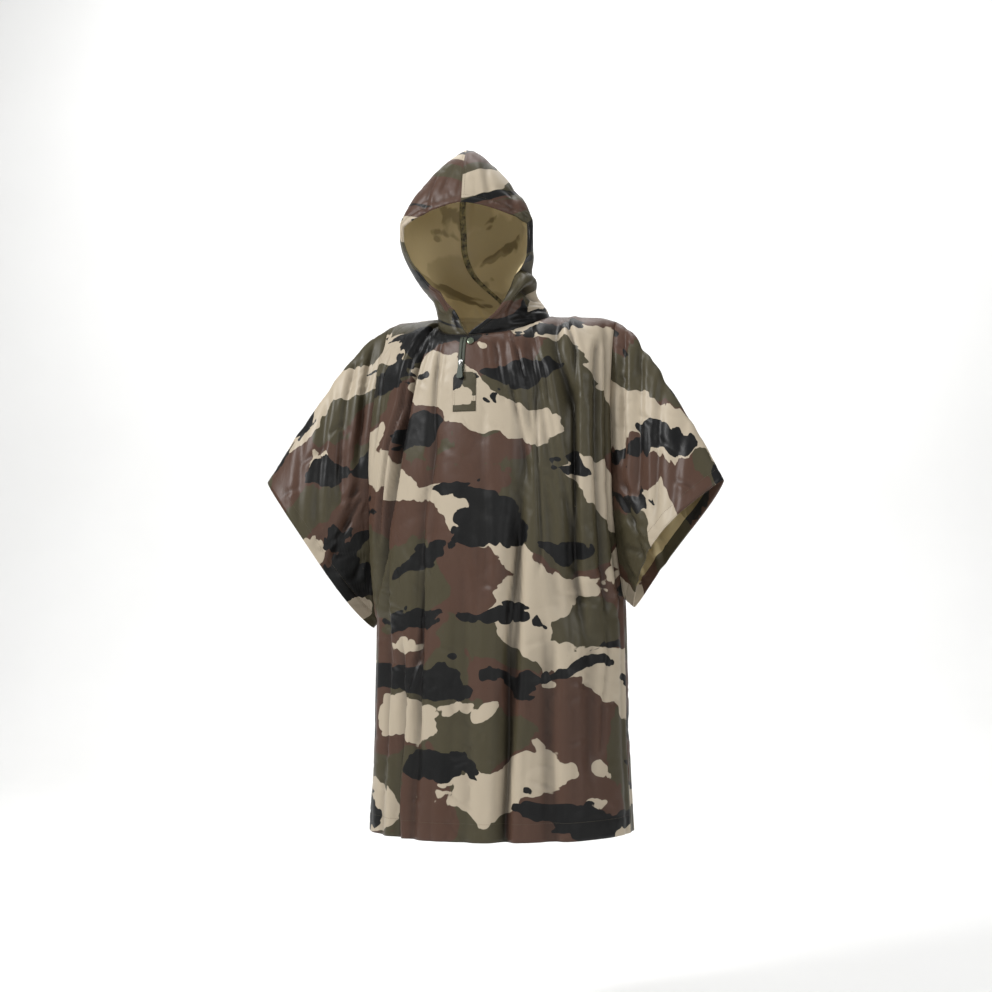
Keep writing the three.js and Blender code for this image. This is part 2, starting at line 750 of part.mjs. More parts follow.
const panelColours = {
  front_panel: 0x6a624a,
  back_panel: 0x665d46,
  sleeve_left: 0x5f5743,
  sleeve_right: 0x5f5743,
  hood_left: 0x6a5f4a,
  hood_right: 0x6a5f4a,
};
for (const [name, panel] of Object.entries(panels)) {
  const geometry = wallGeometry(panel.grid, panel.normals, panel.closed, clothWall, seamGap / 2);
  addMesh(garment, name, geometry, cloth(panelColours[name]));
}

// Tape inside the hood, set off from both halves' inner side beside the centre seam
function seamTapeGeometry() {
  const grid = [];
  const normals = [];
  const { grid: leftGrid, normals: leftNormals } = panels.hood_left;
  const { grid: rightGrid, normals: rightNormals } = panels.hood_right;
  const seam = leftGrid[0].length - 1;
  for (let i = 1; i < leftGrid.length - 1; i += 1) {
    const middle = leftGrid[i][seam];
    const inward = leftNormals[i][seam].clone().multiplyScalar(-1);
    const reach = (line, normal) => {
      const side = line[seam - 1].clone().sub(line[seam]);
      const share = seamTapeWidth / 2 / side.length();
      return line[seam].clone().addScaledVector(side, share).addScaledVector(normal, -clothWall - seamGap);
    };
    const right = reach(rightGrid[i], rightNormals[i][seam - 1]);
    const left = reach(leftGrid[i], leftNormals[i][seam - 1]);
    const centre = middle.clone().addScaledVector(inward, clothWall + seamGap);
    grid.push([right, centre, left]);
    normals.push([inward, inward, inward]);
  }
  const raised = grid.map((line, i) => line.map((point, j) => (
    point.clone().addScaledVector(normals[i][j], seamTapeThickness)
  )));
  return wallGeometry(raised, normals, false, seamTapeThickness, 0);
}
addMesh(garment, 'hood_seam_tape', seamTapeGeometry(), cloth(0x4a4631));

// Zip tapes, stud and patch on the front
const zipRows = range(zipTopZ, zipFootZ, 8);
const tapeSides = { zip_tape_left: 1, zip_tape_right: -1 };
for (const [name, side] of Object.entries(tapeSides)) {
  const inner = zipX + side * zipSlit / 2;
  const outer = inner + side * zipTapeWidth;
  const xs = range(Math.min(inner, outer), Math.max(inner, outer), 2);
  const geometry = frontPatch(xs, zipRows, tapeLift, zipTapeThickness, () => 0);
  addMesh(garment, name, geometry, cloth(0x2e3226));
}
const cornerAt = (z) => {
  const past = clamp01(1 - (patch.top - z) / patch.corner);
  return patch.corner * (1 - Math.sqrt(1 - past * past));
};
const patchRows = patchSteps.map((step) => patch.top - step);
const patchColumns = range(patch.left, patch.right, 6);
const patchGeometry = frontPatch(patchColumns, patchRows, tapeLift, patch.thickness, cornerAt);
addMesh(garment, 'throat_patch', patchGeometry, cloth(0x5c5440));

// Frames that stand on the front: x across, y out of the cloth, z up it
function standOnFront(x, z, lift) {
  const { point, normal, down } = onFront(x, z);
  const up = down.clone().multiplyScalar(-1);
  const out = normal.clone();
  const across = out.clone().cross(up).normalize();
  const trueUp = across.clone().cross(out).normalize();
  const frame = new THREE.Group();
  const basis = new THREE.Matrix4().makeBasis(across, out, trueUp);
  frame.quaternion.setFromRotationMatrix(basis);
  frame.position.copy(point).addScaledVector(out, lift);
  garment.add(frame);
  return frame;
}

const studFrame = standOnFront(studX, studZ, tapeLift);
addMesh(
  studFrame,
  'throat_stud',
  new THREE.LatheGeometry(studProfile, 28),
  new THREE.MeshStandardMaterial({ color: 0x2a2d25, roughness: 0.35, metalness: 0.3 }),
);

const sliderLift = tapeLift + zipTapeThickness + seamGap;
const sliderFrame = standOnFront(zipX, sliderZ, sliderLift);
addMesh(
  sliderFrame,
  'zip_slider',
  sliderGeometry(),
  new THREE.MeshStandardMaterial({ color: 0xb9bab6, roughness: 0.28, metalness: 1 }),
);
const pullFrame = new THREE.Group();
pullFrame.position.set(0, pivotLift, 0);
sliderFrame.add(pullFrame);
addMesh(
  pullFrame,
  'zip_pull',
  pullGeometry(),
  new THREE.MeshStandardMaterial({ color: 0x263024, roughness: 0.55, metalness: 0 }),
);

garment.updateMatrixWorld(true);

export default garment;
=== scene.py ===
import math
import bpy
import numpy as np
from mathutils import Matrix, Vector
from mathutils.bvhtree import BVHTree


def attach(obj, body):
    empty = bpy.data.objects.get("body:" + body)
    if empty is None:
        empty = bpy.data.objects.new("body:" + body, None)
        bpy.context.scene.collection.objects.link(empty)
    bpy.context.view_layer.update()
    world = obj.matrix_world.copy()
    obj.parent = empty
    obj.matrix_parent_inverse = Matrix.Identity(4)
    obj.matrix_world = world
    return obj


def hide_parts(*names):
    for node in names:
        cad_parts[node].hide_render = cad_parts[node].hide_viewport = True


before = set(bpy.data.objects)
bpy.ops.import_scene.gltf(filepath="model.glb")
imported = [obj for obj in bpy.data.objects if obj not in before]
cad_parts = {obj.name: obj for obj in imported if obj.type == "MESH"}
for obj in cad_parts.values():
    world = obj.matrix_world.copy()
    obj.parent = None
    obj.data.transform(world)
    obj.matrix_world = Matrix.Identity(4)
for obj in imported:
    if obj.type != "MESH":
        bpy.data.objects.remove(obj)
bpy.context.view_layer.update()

# Hooded rain poncho: thin cloth shells on the solids' form, worked out in millimetres
mm = 0.001
tiny = 1e-9

cloth = {
    "wall": 0.9,  # thickness of a shell
    "edgeGap": 0.05,  # how far an open edge is drawn back from its seam
    "seamRise": 0.9,  # how far the cloth stands over its seams
    "seamReach": 7,
    "calm": 25,  # creases start this far inside a seam
    "stitchIn": 5,  # stitches beside a seam
    "foldStep": 0.7,  # step where a hem is turned in
    "foldWidth": 3,
    "valleyShadeRounds": 18,  # how widely the cloth around a place is averaged for the painted shade in creases
    "valleyShadeDepth": 7,
}
body = {
    "shoulderHalf": 240, "shoulderEndZ": -14, "hemZ": -1000, "armholeDrop": 558,
    "armholeHalfDepth": 60, "shoulderRoll": 120, "neckShare": 0.58,
    "rows": 96, "lowerRows": 74, "shoulderColumns": 34, "frontNeck": 46, "backNeck": 36,
    "hemDepth": 34, "shoulderRise": 11,
    "foldIn": 12, "lineIn": 10,  # where folds and thin creases start inside the edges
    "skirtTop": -330, "skirtRun": 160, "skirtCreases": 0.5, "skirtDrags": 0.4,
    "armOff": 17, "armWidth": 9, "armUpper": 7.5, "armLower": 3.0,  # trough beside the armhole
    "quietX": -14, "quietZ": -112, "quietWide": 34, "quietHigh": 98,  # flat under zip and patch
}
neck = {"half": 104, "throatY": -126, "throatZ": -46, "napeY": 94, "napeZ": 20, "shift": -18}
sleeve = {
    "cuffX": 274, "cuffZ": -590, "halfDepth": 56, "forward": -88, "rise": 14, "rings": 64,
    "hem": 24, "foldIn": 40,
}
hood = {
    "lean": -48, "turn": math.radians(12), "axisY": -55, "leanFrom": -20, "leanTo": 170,
    "seamShift": -34, "rings": 120, "channel": 17, "channelDepth": 2.2, "crumple": 0.8,
    "foldIn": 15,
}


def table(names, *rows):  # rows of named numbers
    return [dict(zip(names.split(), row)) for row in rows]


bodySections = table(
    "drop halfWidth front back",
    (0, 240, 148, 122), (120, 242, 158, 140), (300, 248, 168, 150), (560, 254, 170, 152),
    (780, 257, 172, 160), (1000, 265, 184, 176),
)
sleeveTop = table(
    "x z",
    (240, -14), (276, -36), (318, -86), (367, -160), (418, -242), (467, -326),
)
faceEdge = table(
    "x y z",
    (0, -126, -46), (32, -124, -12), (62, -119, 24), (92, -109, 64), (113, -95, 104),
    (122, -83, 142), (121, -80, 174),
)
centreSeam = table(
    "y z",
    (94, 20), (98, 82), (94, 145), (80, 205), (48, 260), (4, 306), (-42, 334), (-92, 300),
    (-126, 212),
)
hoodWidths = table(
    "halfWidth ridge",
    (104, 1), (109, 1), (123, 1), (131, 1.2), (132, 1.4), (128, 1.6), (121, 1.5),
)
askew = table(
    "z tilt",
    (80, 0), (0, -0.03), (-330, -0.016), (-560, 0.085), (-780, 0.05), (-1000, 0.026),
)
frontFolds = [  # the solids' own troughs: top x, top z, foot x, foot z, width, depth
    (-104, -16, -176, -330, 15, 11), (-150, -240, -222, -640, 15, 9),
    (96, -16, 150, -330, 15, 11), (136, -250, 172, -620, 15, 8), (-62, -160, -112, -760, 16, 9),
    (-108, -700, -128, -1120, 17, 12), (118, -140, 76, -640, 16, 9),
    (80, -560, 68, -1120, 17, 13), (-204, -560, -208, -1120, 14, 9),
    (216, -600, 214, -900, 13, 8),
]
frontDrags = [  # sharper hearts of the troughs, and the long folds between them
    (-88, 20, -236, -600, 9, 15), (-148, -600, -152, -1120, 12, 12),
    (-96, -260, -112, -860, 11, 8), (138, 10, 196, -210, 10, 13), (186, -60, 206, -660, 11, 15),
    (102, -280, 74, -1120, 12, 10), (50, -30, 122, -360, 9, 6), (-60, -50, -92, -420, 8, 6),
    (-14, -420, -4, -1120, 30, 6), (150, -580, 164, -1120, 17, 9),
    (-190, -360, -192, -900, 14, 7), (24, -160, 34, -620, 20, 5),
]
frontCreases = [  # the last number is the side of the lip
    (-96, -30, -158, -210, 5, 3.2, 1), (-84, -40, -120, -190, 4, 2.4, -1),
    (-120, -60, -196, -420, 6, 3.4, -1), (-176, -300, -232, -560, 5, 3.6, 1),
    (-70, -60, -84, -260, 5, 2.2, 1), (-50, -70, -56, -150, 3.5, 1.8, -1),
    (40, -52, 66, -170, 4, 2.6, 1), (58, -40, 96, -240, 5, 3.2, -1),
    (78, -34, 128, -290, 5, 3.6, 1), (104, -30, 176, -420, 6, 3.4, -1),
    (130, -60, 206, -520, 6, 3.8, 1), (24, -60, 34, -120, 3, 1.8, -1),
    (-104, -400, -146, -900, 7, 3.4, 1), (-30, -520, -44, -1120, 8, 2.6, -1),
    (20, -360, 10, -880, 8, 2.4, 1), (140, -520, 150, -1120, 7, 3.6, -1),
    (182, -430, 196, -1000, 6, 3.4, 1), (-176, -640, -168, -1120, 6, 3.2, -1),
    (-232, -420, -238, -900, 5, 3, 1), (236, -300, 240, -640, 5, 2.6, -1),
    (110, -760, 104, -1120, 6, 2.8, 1), (-72, -860, -80, -1120, 6, 2.6, 1),
]
backFolds = [
    (-92, -20, -168, -420, 17, 11), (88, -20, 158, -440, 17, 11),
    (-34, -260, -64, -1120, 18, 12), (62, -330, 84, -1120, 18, 11),
    (-150, -520, -176, -1120, 17, 11), (168, -560, 186, -1120, 16, 10),
]
backDrags = [
    (-88, 30, -214, -640, 10, 13), (86, 30, 210, -660, 10, 13), (-48, -300, -72, -1120, 12, 8),
    (66, -360, 92, -1120, 12, 8), (10, -60, 2, -700, 24, 6), (-170, -500, -186, -1120, 13, 8),
    (176, -560, 190, -1120, 13, 8),
]
backCreases = [
    (-70, 0, -120, -300, 5, 3.2, 1), (60, 0, 110, -320, 5, 3.2, -1),
    (-110, -30, -206, -520, 6, 3.6, -1), (112, -20, 200, -540, 6, 3.6, 1),
    (-20, -20, -30, -260, 5, 2.2, 1), (26, -20, 30, -210, 4, 2, -1),
    (4, -420, 0, -1120, 8, 3, 1), (-104, -480, -116, -1120, 7, 3.2, 1),
    (128, -520, 136, -1120, 7, 3.4, -1), (-218, -600, -224, -1120, 6, 3, 1),
    (222, -560, 228, -1120, 6, 3, -1), (34, -700, 40, -1120, 6, 2.6, 1),
]
sleeveFolds = [
    (262, -10, 274, -330, 9, 9), (300, -40, 306, -400, 11, 11), (346, -110, 344, -440, 11, 9),
]
sleeveCreases = [
    (252, -20, 272, -260, 6, 3, 1), (322, -80, 322, -420, 9, 3.6, 1),
    (396, -190, 376, -430, 9, 3, 1), (266, -300, 330, -520, 8, 4, 1),
]
hoodFolds = [
    (108, 140, 34, -18, 8, 14), (114, 86, 50, -24, 7, 11), (96, 60, 78, -20, 6, 5),
]
hoodCreases = [
    (60, 90, 10, -20, 4, 2.6, 1), (70, 40, 44, -20, 4, 3, -1), (40, 300, 66, 120, 7, 3, 1),
    (-10, 316, 20, 200, 6, 2.4, -1), (-96, 290, -120, 150, 6, 2.6, 1),
    (-60, 300, -80, 225, 5, 2, -1), (76, 200, 74, 60, 5, 3, 1), (-90, 60, -50, -20, 5, 3, 1),
]
frontNips = [  # short creases: x, z, end x, end z, width, depth
    (196, -112, 232, -128, 4, 2.4), (200, -138, 234, -150, 3.5, 2.0),
    (188, -160, 230, -178, 4, 2.4), (206, -186, 236, -196, 3, 1.8),
    (136, -312, 172, -326, 4, 2.6), (142, -338, 168, -344, 3, 1.8),
    (-196, -560, -132, -580, 5, 2.6), (-188, -612, -138, -606, 4, 2.4),
    (-200, -664, -150, -690, 5, 3), (-186, -720, -120, -742, 5, 2.6),
    (-232, -330, -196, -352, 4, 2.4), (-236, -404, -204, -396, 4, 2.2),
    (-226, -466, -182, -486, 4, 2.6), (-120, -120, -90, -150, 4, 2.4),
    (-150, -96, -112, -110, 4, 2.2), (30, -220, 84, -236, 5, 2.4), (-60, -262, -24, -276, 4, 2),
    (26, -520, 66, -532, 5, 2.6), (100, -640, 146, -622, 5, 2.8), (180, -700, 226, -716, 5, 3),
    (176, -820, 214, -806, 5, 2.6), (-60, -640, -20, -652, 5, 2.4),
    (-40, -860, 14, -846, 6, 2.6), (110, -880, 160, -900, 5, 2.8),
    (-214, -840, -170, -862, 5, 2.8), (-132, -930, -92, -920, 5, 2.6),
    (228, -480, 246, -520, 4, 2.6), (176, -480, 222, -520, 5, 3),
    (160, -540, 236, -566, 6, 3.4), (-236, -520, -160, -552, 6, 3.4),
]
backNips = [
    (-150, -150, -110, -176, 5, 2.8), (120, -170, 166, -196, 5, 2.8),
    (-222, -500, -150, -548, 6, 3.4), (226, -500, 160, -552, 6, 3.4),
    (-60, -220, -20, -232, 5, 2.4), (20, -380, 70, -396, 5, 2.6),
    (-130, -660, -84, -676, 5, 2.8), (96, -720, 150, -700, 5, 2.8),
    (-40, -820, 20, -838, 6, 2.6), (-200, -860, -160, -880, 5, 2.6),
    (190, -900, 140, -912, 5, 2.6), (0, -560, 46, -574, 5, 2.4),
]
sleeveNips = [
    (262, -330, 318, -372, 6, 4), (268, -392, 326, -420, 6, 3.6),
    (264, -450, 330, -470, 6, 3.8), (270, -500, 306, -520, 5, 3),
    (330, -240, 392, -290, 6, 3.4), (300, -196, 340, -230, 5, 3),
    (256, -120, 286, -150, 5, 2.8), (380, -330, 424, -350, 5, 3),
]
hoodNips = [
    (60, -6, 112, 14, 4, 4), (66, 8, 116, 34, 4, 4), (52, -22, 96, -8, 4, 3.4),
    (80, 30, 120, 60, 5, 3), (-100, 10, -60, -14, 4, 3), (-110, 40, -74, 6, 4, 2.6),
    (20, 250, 60, 226, 6, 2.8), (-60, 262, -24, 280, 6, 2.6), (30, 200, 74, 176, 5, 2.6),
    (-130, 170, -116, 130, 5, 2.4),
]
frontLines = [  # thin creases: width, depth, then the places they pass
    (3.6, 8, (-88, 8), (-121, -36), (-138, -82), (-149, -136), (-157, -180), (-184, -250),
        (-200, -348), (-226, -470)),
    (3.4, 7, (140, 6), (154, -10), (176, -50), (190, -84), (195, -139), (197, -292),
        (202, -520)),
    (3.0, 5, (120, -150), (127, -260), (136, -428), (130, -520)),
    (3.2, 6, (98, -430), (82, -540), (74, -640), (76, -820), (73, -1010)),
    (3.2, 6, (-98, -470), (-103, -560), (-109, -636), (-139, -756), (-150, -860),
        (-152, -1010)),
    (3.0, 4, (236, -590), (240, -650), (234, -740), (230, -860)),
    (4.6, 8, (222, -50), (227, -150), (231, -300), (235, -470), (236, -600)),
    (2.8, 4, (62, -30), (84, -84), (108, -150), (118, -214)),
    (2.8, 3.6, (92, -16), (116, -60), (140, -130), (150, -220)),
    (2.8, 3.4, (-62, -40), (-74, -90), (-80, -170)),
    (2.8, 3.2, (-190, -60), (-206, -120), (-212, -210), (-222, -300)),
]
backLines = [
    (3.4, 6, (-96, 20), (-128, -60), (-158, -190), (-196, -360), (-220, -500)),
    (3.4, 6, (92, 20), (124, -50), (150, -180), (190, -350), (214, -520)),
    (3.2, 5, (-60, -420), (-70, -640), (-84, -1010)),
    (3.2, 5, (74, -460), (88, -700), (92, -1010)), (3.0, 4, (-6, -60), (2, -240), (-8, -420)),
    (3.0, 4, (176, -640), (190, -820), (192, -1010)),
]
hoodLines = [
    (4.0, 12, (106, 128), (88, 86), (60, 34), (44, 6)), (3.4, 9, (110, 78), (84, 34), (62, 8)),
    (2.6, 4, (116, 40), (92, 12), (70, -6)), (2.4, 3, (100, 10), (80, -4), (58, -22)),
    (2.6, 3, (-104, 44), (-78, 8), (-52, -18)),
]
sleeveLines = [
    (3.6, 2.6, (262, -30), (272, -120), (270, -240)),
    (4.4, 2.6, (300, -64), (310, -180), (308, -330)),
    (3.0, 4, (262, -340), (300, -420), (352, -470)), (3.0, 3.6, (268, -470), (296, -530)),
]


def clamp01(value):
    return np.clip(value, 0.0, 1.0)


def bell(value, width=1.0):
    return np.exp(-((value / width) ** 2))


def mix(start, end, share):
    return start + (end - start) * share


def smooth(value):
    share = clamp01(value)
    return share * share * (3 - 2 * share)


def curveAt(rows, column, share):  # even Catmull-Rom run through one column of a table
    values = np.array([entry[column] for entry in rows], float)
    values = np.concatenate([[2 * values[0] - values[1]], values, [2 * values[-1] - values[-2]]])
    place = clamp01(np.asarray(share, float)) * (len(rows) - 1)
    index = np.minimum(np.floor(place).astype(int), len(rows) - 2)
    t = place - index
    a, b, c, d = (values[index + k] for k in range(4))
    square, cube = 2 * a - 5 * b + 4 * c - d, 3 * b - a - 3 * c + d
    return 0.5 * (2 * b + (c - a) * t + square * t**2 + cube * t**3)


def steppedAt(rows, key, column, place):  # smooth steps between a table's rows
    keys = np.array([entry[key] for entry in rows], float)
    values = np.array([entry[column] for entry in rows], float)
    if keys[0] > keys[-1]:
        keys, values = keys[::-1], values[::-1]
    place = np.clip(place, keys[0], keys[-1])
    index = np.clip(np.searchsorted(keys, place, side="right") - 1, 0, len(keys) - 2)
    share = smooth((place - keys[index]) / (keys[index + 1] - keys[index]))
    return mix(values[index], values[index + 1], share)


def bodyAt(column, drop):
    return steppedAt(bodySections, "drop", column, drop)


trough = {  # places and widths are in widths of the fold
    "fadeIn": 5, "fadeOut": 4, "heart": 1.05, "lip": 0.6, "lipOff": 1.7, "lipWidth": 1.2,
    "slack": 1.8, "steep": 0.5, "dragLip": 0.22, "dragLipOff": 1.6, "dragLipWidth": 1.1,
    "sway": 3, "swayTurns": 9,
}


def alongTrough(topX, topZ, footX, footZ, z):  # its middle at a height, and how deep it is there
    along = (topZ - z) / (topZ - footZ)
    fade = smooth(along * trough["fadeIn"]) * smooth((1 - along) * trough["fadeOut"])
    return along, mix(topX, footX, along), fade


def foldDepth(folds, x, z):  # inward depth of a table's troughs, less the lips beside them
    depth = np.zeros_like(x)
    for topX, topZ, footX, footZ, width, deep, *side in folds:
        _, centre, fade = alongTrough(topX, topZ, footX, footZ, z)
        off = (x - centre) / width
        shape = bell(off)
        if side:
            lip = bell(off - trough["lipOff"] * side[0], trough["lipWidth"])
            shape = trough["heart"] * shape - trough["lip"] * lip
        depth += deep * fade * shape
    return depth


def dragDepth(folds, x, z):  # long folds that fall in slowly and rise steeply at one side
    depth = np.zeros_like(x)
    for topX, topZ, footX, footZ, width, deep in folds:
        along, centre, fade = alongTrough(topX, topZ, footX, footZ, z)
        centre = centre + trough["sway"] * np.sin(along * trough["swayTurns"] + footX)
        off = (x - centre) / width
        shape = np.where(off < 0, bell(off, trough["slack"]), bell(off, trough["steep"]))
        lip = bell(off - trough["dragLipOff"], trough["dragLipWidth"])
        depth += deep * fade * (shape - trough["dragLip"] * lip)
    return depth


def nipDepth(nips, x, z):
    depth = np.zeros_like(x)
    for startX, startZ, endX, endZ, width, deep in nips:
        runX, runZ = endX - startX, endZ - startZ
        length = math.hypot(runX, runZ)
        along = ((x - startX) * runX + (z - startZ) * runZ) / length**2
        aside = ((x - startX) * runZ - (z - startZ) * runX) / length / width
        fade = smooth(along * 3) * smooth((1 - along) * 3)
        depth += deep * fade * (0.85 * bell(aside) - 0.45 * bell(aside - 1.7, 1.2))
    return depth


def lineDepth(lines, x, z):
    depth = np.zeros_like(x)
    for width, deep, *places in lines:
        places = np.array(places, float)
        steps = np.diff(places, axis=0)
        lengths = np.hypot(steps[:, 0], steps[:, 1])
        starts = np.concatenate([[0], np.cumsum(lengths)])
        nearest = np.full_like(x, np.inf)
        along = np.zeros_like(x)
        for (startX, startZ), (runX, runZ), length, start in zip(places, steps, lengths, starts):
            share = clamp01(((x - startX) * runX + (z - startZ) * runZ) / length**2)
            distance = np.hypot(x - startX - share * runX, z - startZ - share * runZ)
            along = np.where(distance < nearest, start + share * length, along)
            nearest = np.minimum(nearest, distance)
        fade = smooth(along / 30) * smooth((starts[-1] - along) / 60)
        off = nearest / width
        depth += deep * fade * (bell(off) - 0.3 * bell(off - 2.6, 1.5))
    return depth


def valueNoise(x, z, seed, sizeX, sizeZ):  # smooth noise from -1 to 1 on a fixed lattice
    cells, shift = 97, 40.0
    lattice = np.random.RandomState(seed).uniform(-1, 1, (cells, cells))
    px, pz = x / sizeX + shift, z / sizeZ + shift
    ix, iz = np.floor(px).astype(int), np.floor(pz).astype(int)
    tx, tz = smooth(px - ix), smooth(pz - iz)

    def at(i, j):
        return lattice[i % cells, j % cells]

    upper = mix(at(ix, iz), at(ix + 1, iz), tx)
    lower = mix(at(ix, iz + 1), at(ix + 1, iz + 1), tx)
    return mix(upper, lower, tz)


crumples = [(0.5, 44, 1.7), (-0.7, 36, 1.5), (0.1, 27, 0.8)]  # lean, size and depth of ridges


def crumple(x, z, seed):  # uneven small relief of thin coated cloth
    sway = 2.6 * valueNoise(x, z, seed, 95, 250)
    sway = sway + 1.2 * valueNoise(x + 0.3 * z, z, seed + 1, 64, 84)
    bentX = x + 14 * valueNoise(x, z, seed + 6, 60, 60)
    sharp = 0
    for lean, size, depth in crumples:
        ridges = valueNoise(bentX + lean * z, z - lean * x, seed + size, size, size * 0.8)
        patches = smooth(valueNoise(x, z, seed + size + 1, 110, 120) * 1.6 + 0.1)
        sharp = sharp + depth * smooth(1 - 2.2 * np.abs(ridges)) ** 3 * patches
    return sway + sharp


def join(x, y, z):
    return np.stack(np.broadcast_arrays(x, y, z), axis=-1).astype(float)


def neckPoint(angle, side):
    middleY = (neck["throatY"] + neck["napeY"]) / 2
    middleZ = (neck["throatZ"] + neck["napeZ"]) / 2
    y = middleY - (neck["napeY"] - neck["throatY"]) / 2 * np.cos(angle)
    shift = neck["shift"] * smooth(y / neck["throatY"])
    z = middleZ - (neck["napeZ"] - neck["throatZ"]) / 2 * np.cos(angle)
    return join(side * neck["half"] * np.sin(angle) + shift, y, z)


shoulderAngle = math.acos((neck["throatY"] + neck["napeY"]) / (neck["napeY"] - neck["throatY"]))


def rollAt(drop):
    return np.sqrt(1 - (1 - clamp01(drop / body["shoulderRoll"])) ** 2)


def armholeDepth(drop):
    share = clamp01(drop / body["armholeDrop"])
    return body["armholeHalfDepth"] * np.maximum(np.sin(math.pi * share), 0) ** 0.6


def armholeX(drop):
    return mix(body["shoulderHalf"], bodyAt("halfWidth", drop), rollAt(drop))


def sectionPoint(face, across, drop):  # by arc length between the side edges
    steps = 32
    angle = np.linspace(0, math.pi / 2, steps + 1)
    edge = armholeDepth(drop)[..., None]
    xs = bodyAt("halfWidth", drop)[..., None] * np.sin(angle)
    ys = edge * np.sin(angle) ** 4 + bodyAt(face, drop)[..., None] * np.cos(angle)
    run = np.cumsum(np.hypot(np.diff(xs, axis=-1), np.diff(ys, axis=-1)), axis=-1)
    run = np.concatenate([np.zeros_like(run[..., :1]), run], axis=-1)
    wanted = np.abs(across) * run[..., -1]
    index = np.clip((run < wanted[..., None]).sum(axis=-1) - 1, 0, steps - 1)[..., None]

    def pick(values, k):
        return np.take_along_axis(values, index + k, axis=-1)[..., 0]

    share = (wanted - pick(run, 0)) / (pick(run, 1) - pick(run, 0))
    x = np.sign(across) * mix(pick(xs, 0), pick(xs, 1), share)
    return x, mix(pick(ys, 0), pick(ys, 1), share)


def topPoint(face, across):  # shoulder seam, then the neckline
    size = np.abs(across)
    side = np.where(across < 0, -1.0, 1.0)
    neckShare = body["neckShare"]
    middleAngle = 0.0 if face == "front" else math.pi
    neckEnd = neckPoint(np.full_like(across, shoulderAngle), side)
    shoulderEnd = join(side * body["shoulderHalf"], 0.0, body["shoulderEndZ"])
    shoulder = mix(shoulderEnd, neckEnd, clamp01((1 - size) / (1 - neckShare))[..., None])
    line = neckPoint(mix(shoulderAngle, middleAngle, clamp01(1 - size / neckShare)), side)
    return np.where((size >= neckShare)[..., None], shoulder, line)


def panelPoint(face, across, down):
    forward = -1 if face == "front" else 1
    top = topPoint(face, across)
    drop = down * (body["shoulderEndZ"] - body["hemZ"])
    roll = rollAt(drop)
    sectionX, sectionY = sectionPoint(face, across, drop)
    edge = armholeDepth(drop)
    shift = neck["shift"] * np.cos(across * math.pi / 2) ** 2 if face == "front" else 0.0
    x = mix(top[..., 0], sectionX + shift, roll)
    y = forward * (edge + mix(top[..., 1] * forward, sectionY - edge, roll))
    return join(x, y, mix(top[..., 2], body["hemZ"], down))


def sleevePoint(out, chord, forward):
    underX = mix(armholeX(body["armholeDrop"]), sleeve["cuffX"], out)
    underZ = mix(body["shoulderEndZ"] - body["armholeDrop"], sleeve["cuffZ"], out)
    drop = chord * body["armholeDrop"]
    bend = np.maximum(np.sin(math.pi * chord), 0)
    straight = mix(body["shoulderHalf"], armholeX(body["armholeDrop"]), chord)
    bow = (armholeX(drop) - straight) * (1 - out)
    rise = np.where(forward < 0, sleeve["rise"] * smooth(out * 2 - 1) * bend, 0)
    halfDepth = mix(armholeDepth(drop), sleeve["halfDepth"] * bend**0.6, out)
    x = mix(curveAt(sleeveTop, "x", out), underX, chord) + bow - rise
    y = forward * halfDepth + sleeve["forward"] * out * (1 - chord * chord)
    return join(x, y, mix(curveAt(sleeveTop, "z", out), underZ, chord) + rise)


def leanHood(x, y, z):
    share = smooth((z - hood["leanFrom"]) / (hood["leanTo"] - hood["leanFrom"]))
    angle = hood["turn"] * share
    off = y - hood["axisY"]
    return x * np.cos(angle) - off * np.sin(angle) + hood["lean"] * share, (
        x * np.sin(angle) + off * np.cos(angle) + hood["axisY"]
    )


def hoodPoint(up, around, side):
    edgeX, edgeY, edgeZ = (curveAt(faceEdge, key, up) for key in "xyz")
    seamY, seamZ = (curveAt(centreSeam, key, up) for key in "yz")
    ridge = curveAt(hoodWidths, "ridge", up)
    halfWidth = np.maximum(curveAt(hoodWidths, "halfWidth", up), edgeX)
    start = np.arcsin(clamp01(edgeX / halfWidth))
    angle = mix(start, math.pi, around)
    power = np.where(angle > math.pi / 2, ridge, 1.0)

    def bent(value):
        return np.sign(value) * np.abs(value) ** power

    middleY = (edgeY + seamY * np.cos(start)) / (1 + np.cos(start))
    middleZ = (edgeZ + seamZ * np.cos(start)) / (1 + np.cos(start))
    x = side * halfWidth * bent(np.sin(angle))
    y = middleY - (seamY - middleY) * bent(np.cos(angle))
    z = middleZ - (seamZ - middleZ) * bent(np.cos(angle))
    shift = neck["shift"] * smooth(y / neck["throatY"]) * (1 - smooth(up * 4))
    leanX, leanY = leanHood(x, y, z)
    seamShift = hood["seamShift"] * smooth(around) * smooth(up * 5) * smooth((0.8 - up) * 2.5)
    return join(leanX + shift + seamShift, leanY, z)


def hangAskew(points):
    z = points[..., 2]
    tilt = steppedAt(askew, "z", "tilt", np.maximum(z, body["hemZ"]))
    settled = points.copy()
    settled[..., 2] = z + tilt * points[..., 0]
    size = np.abs(points[..., 0])
    shoulder = smooth((z + 130) / 110) * smooth((60 - z) / 50)
    shoulder = shoulder * smooth((size - 60) / 60) * smooth((262 - size) / 60)
    settled[..., 2] += body["shoulderRise"] * shoulder
    return settled


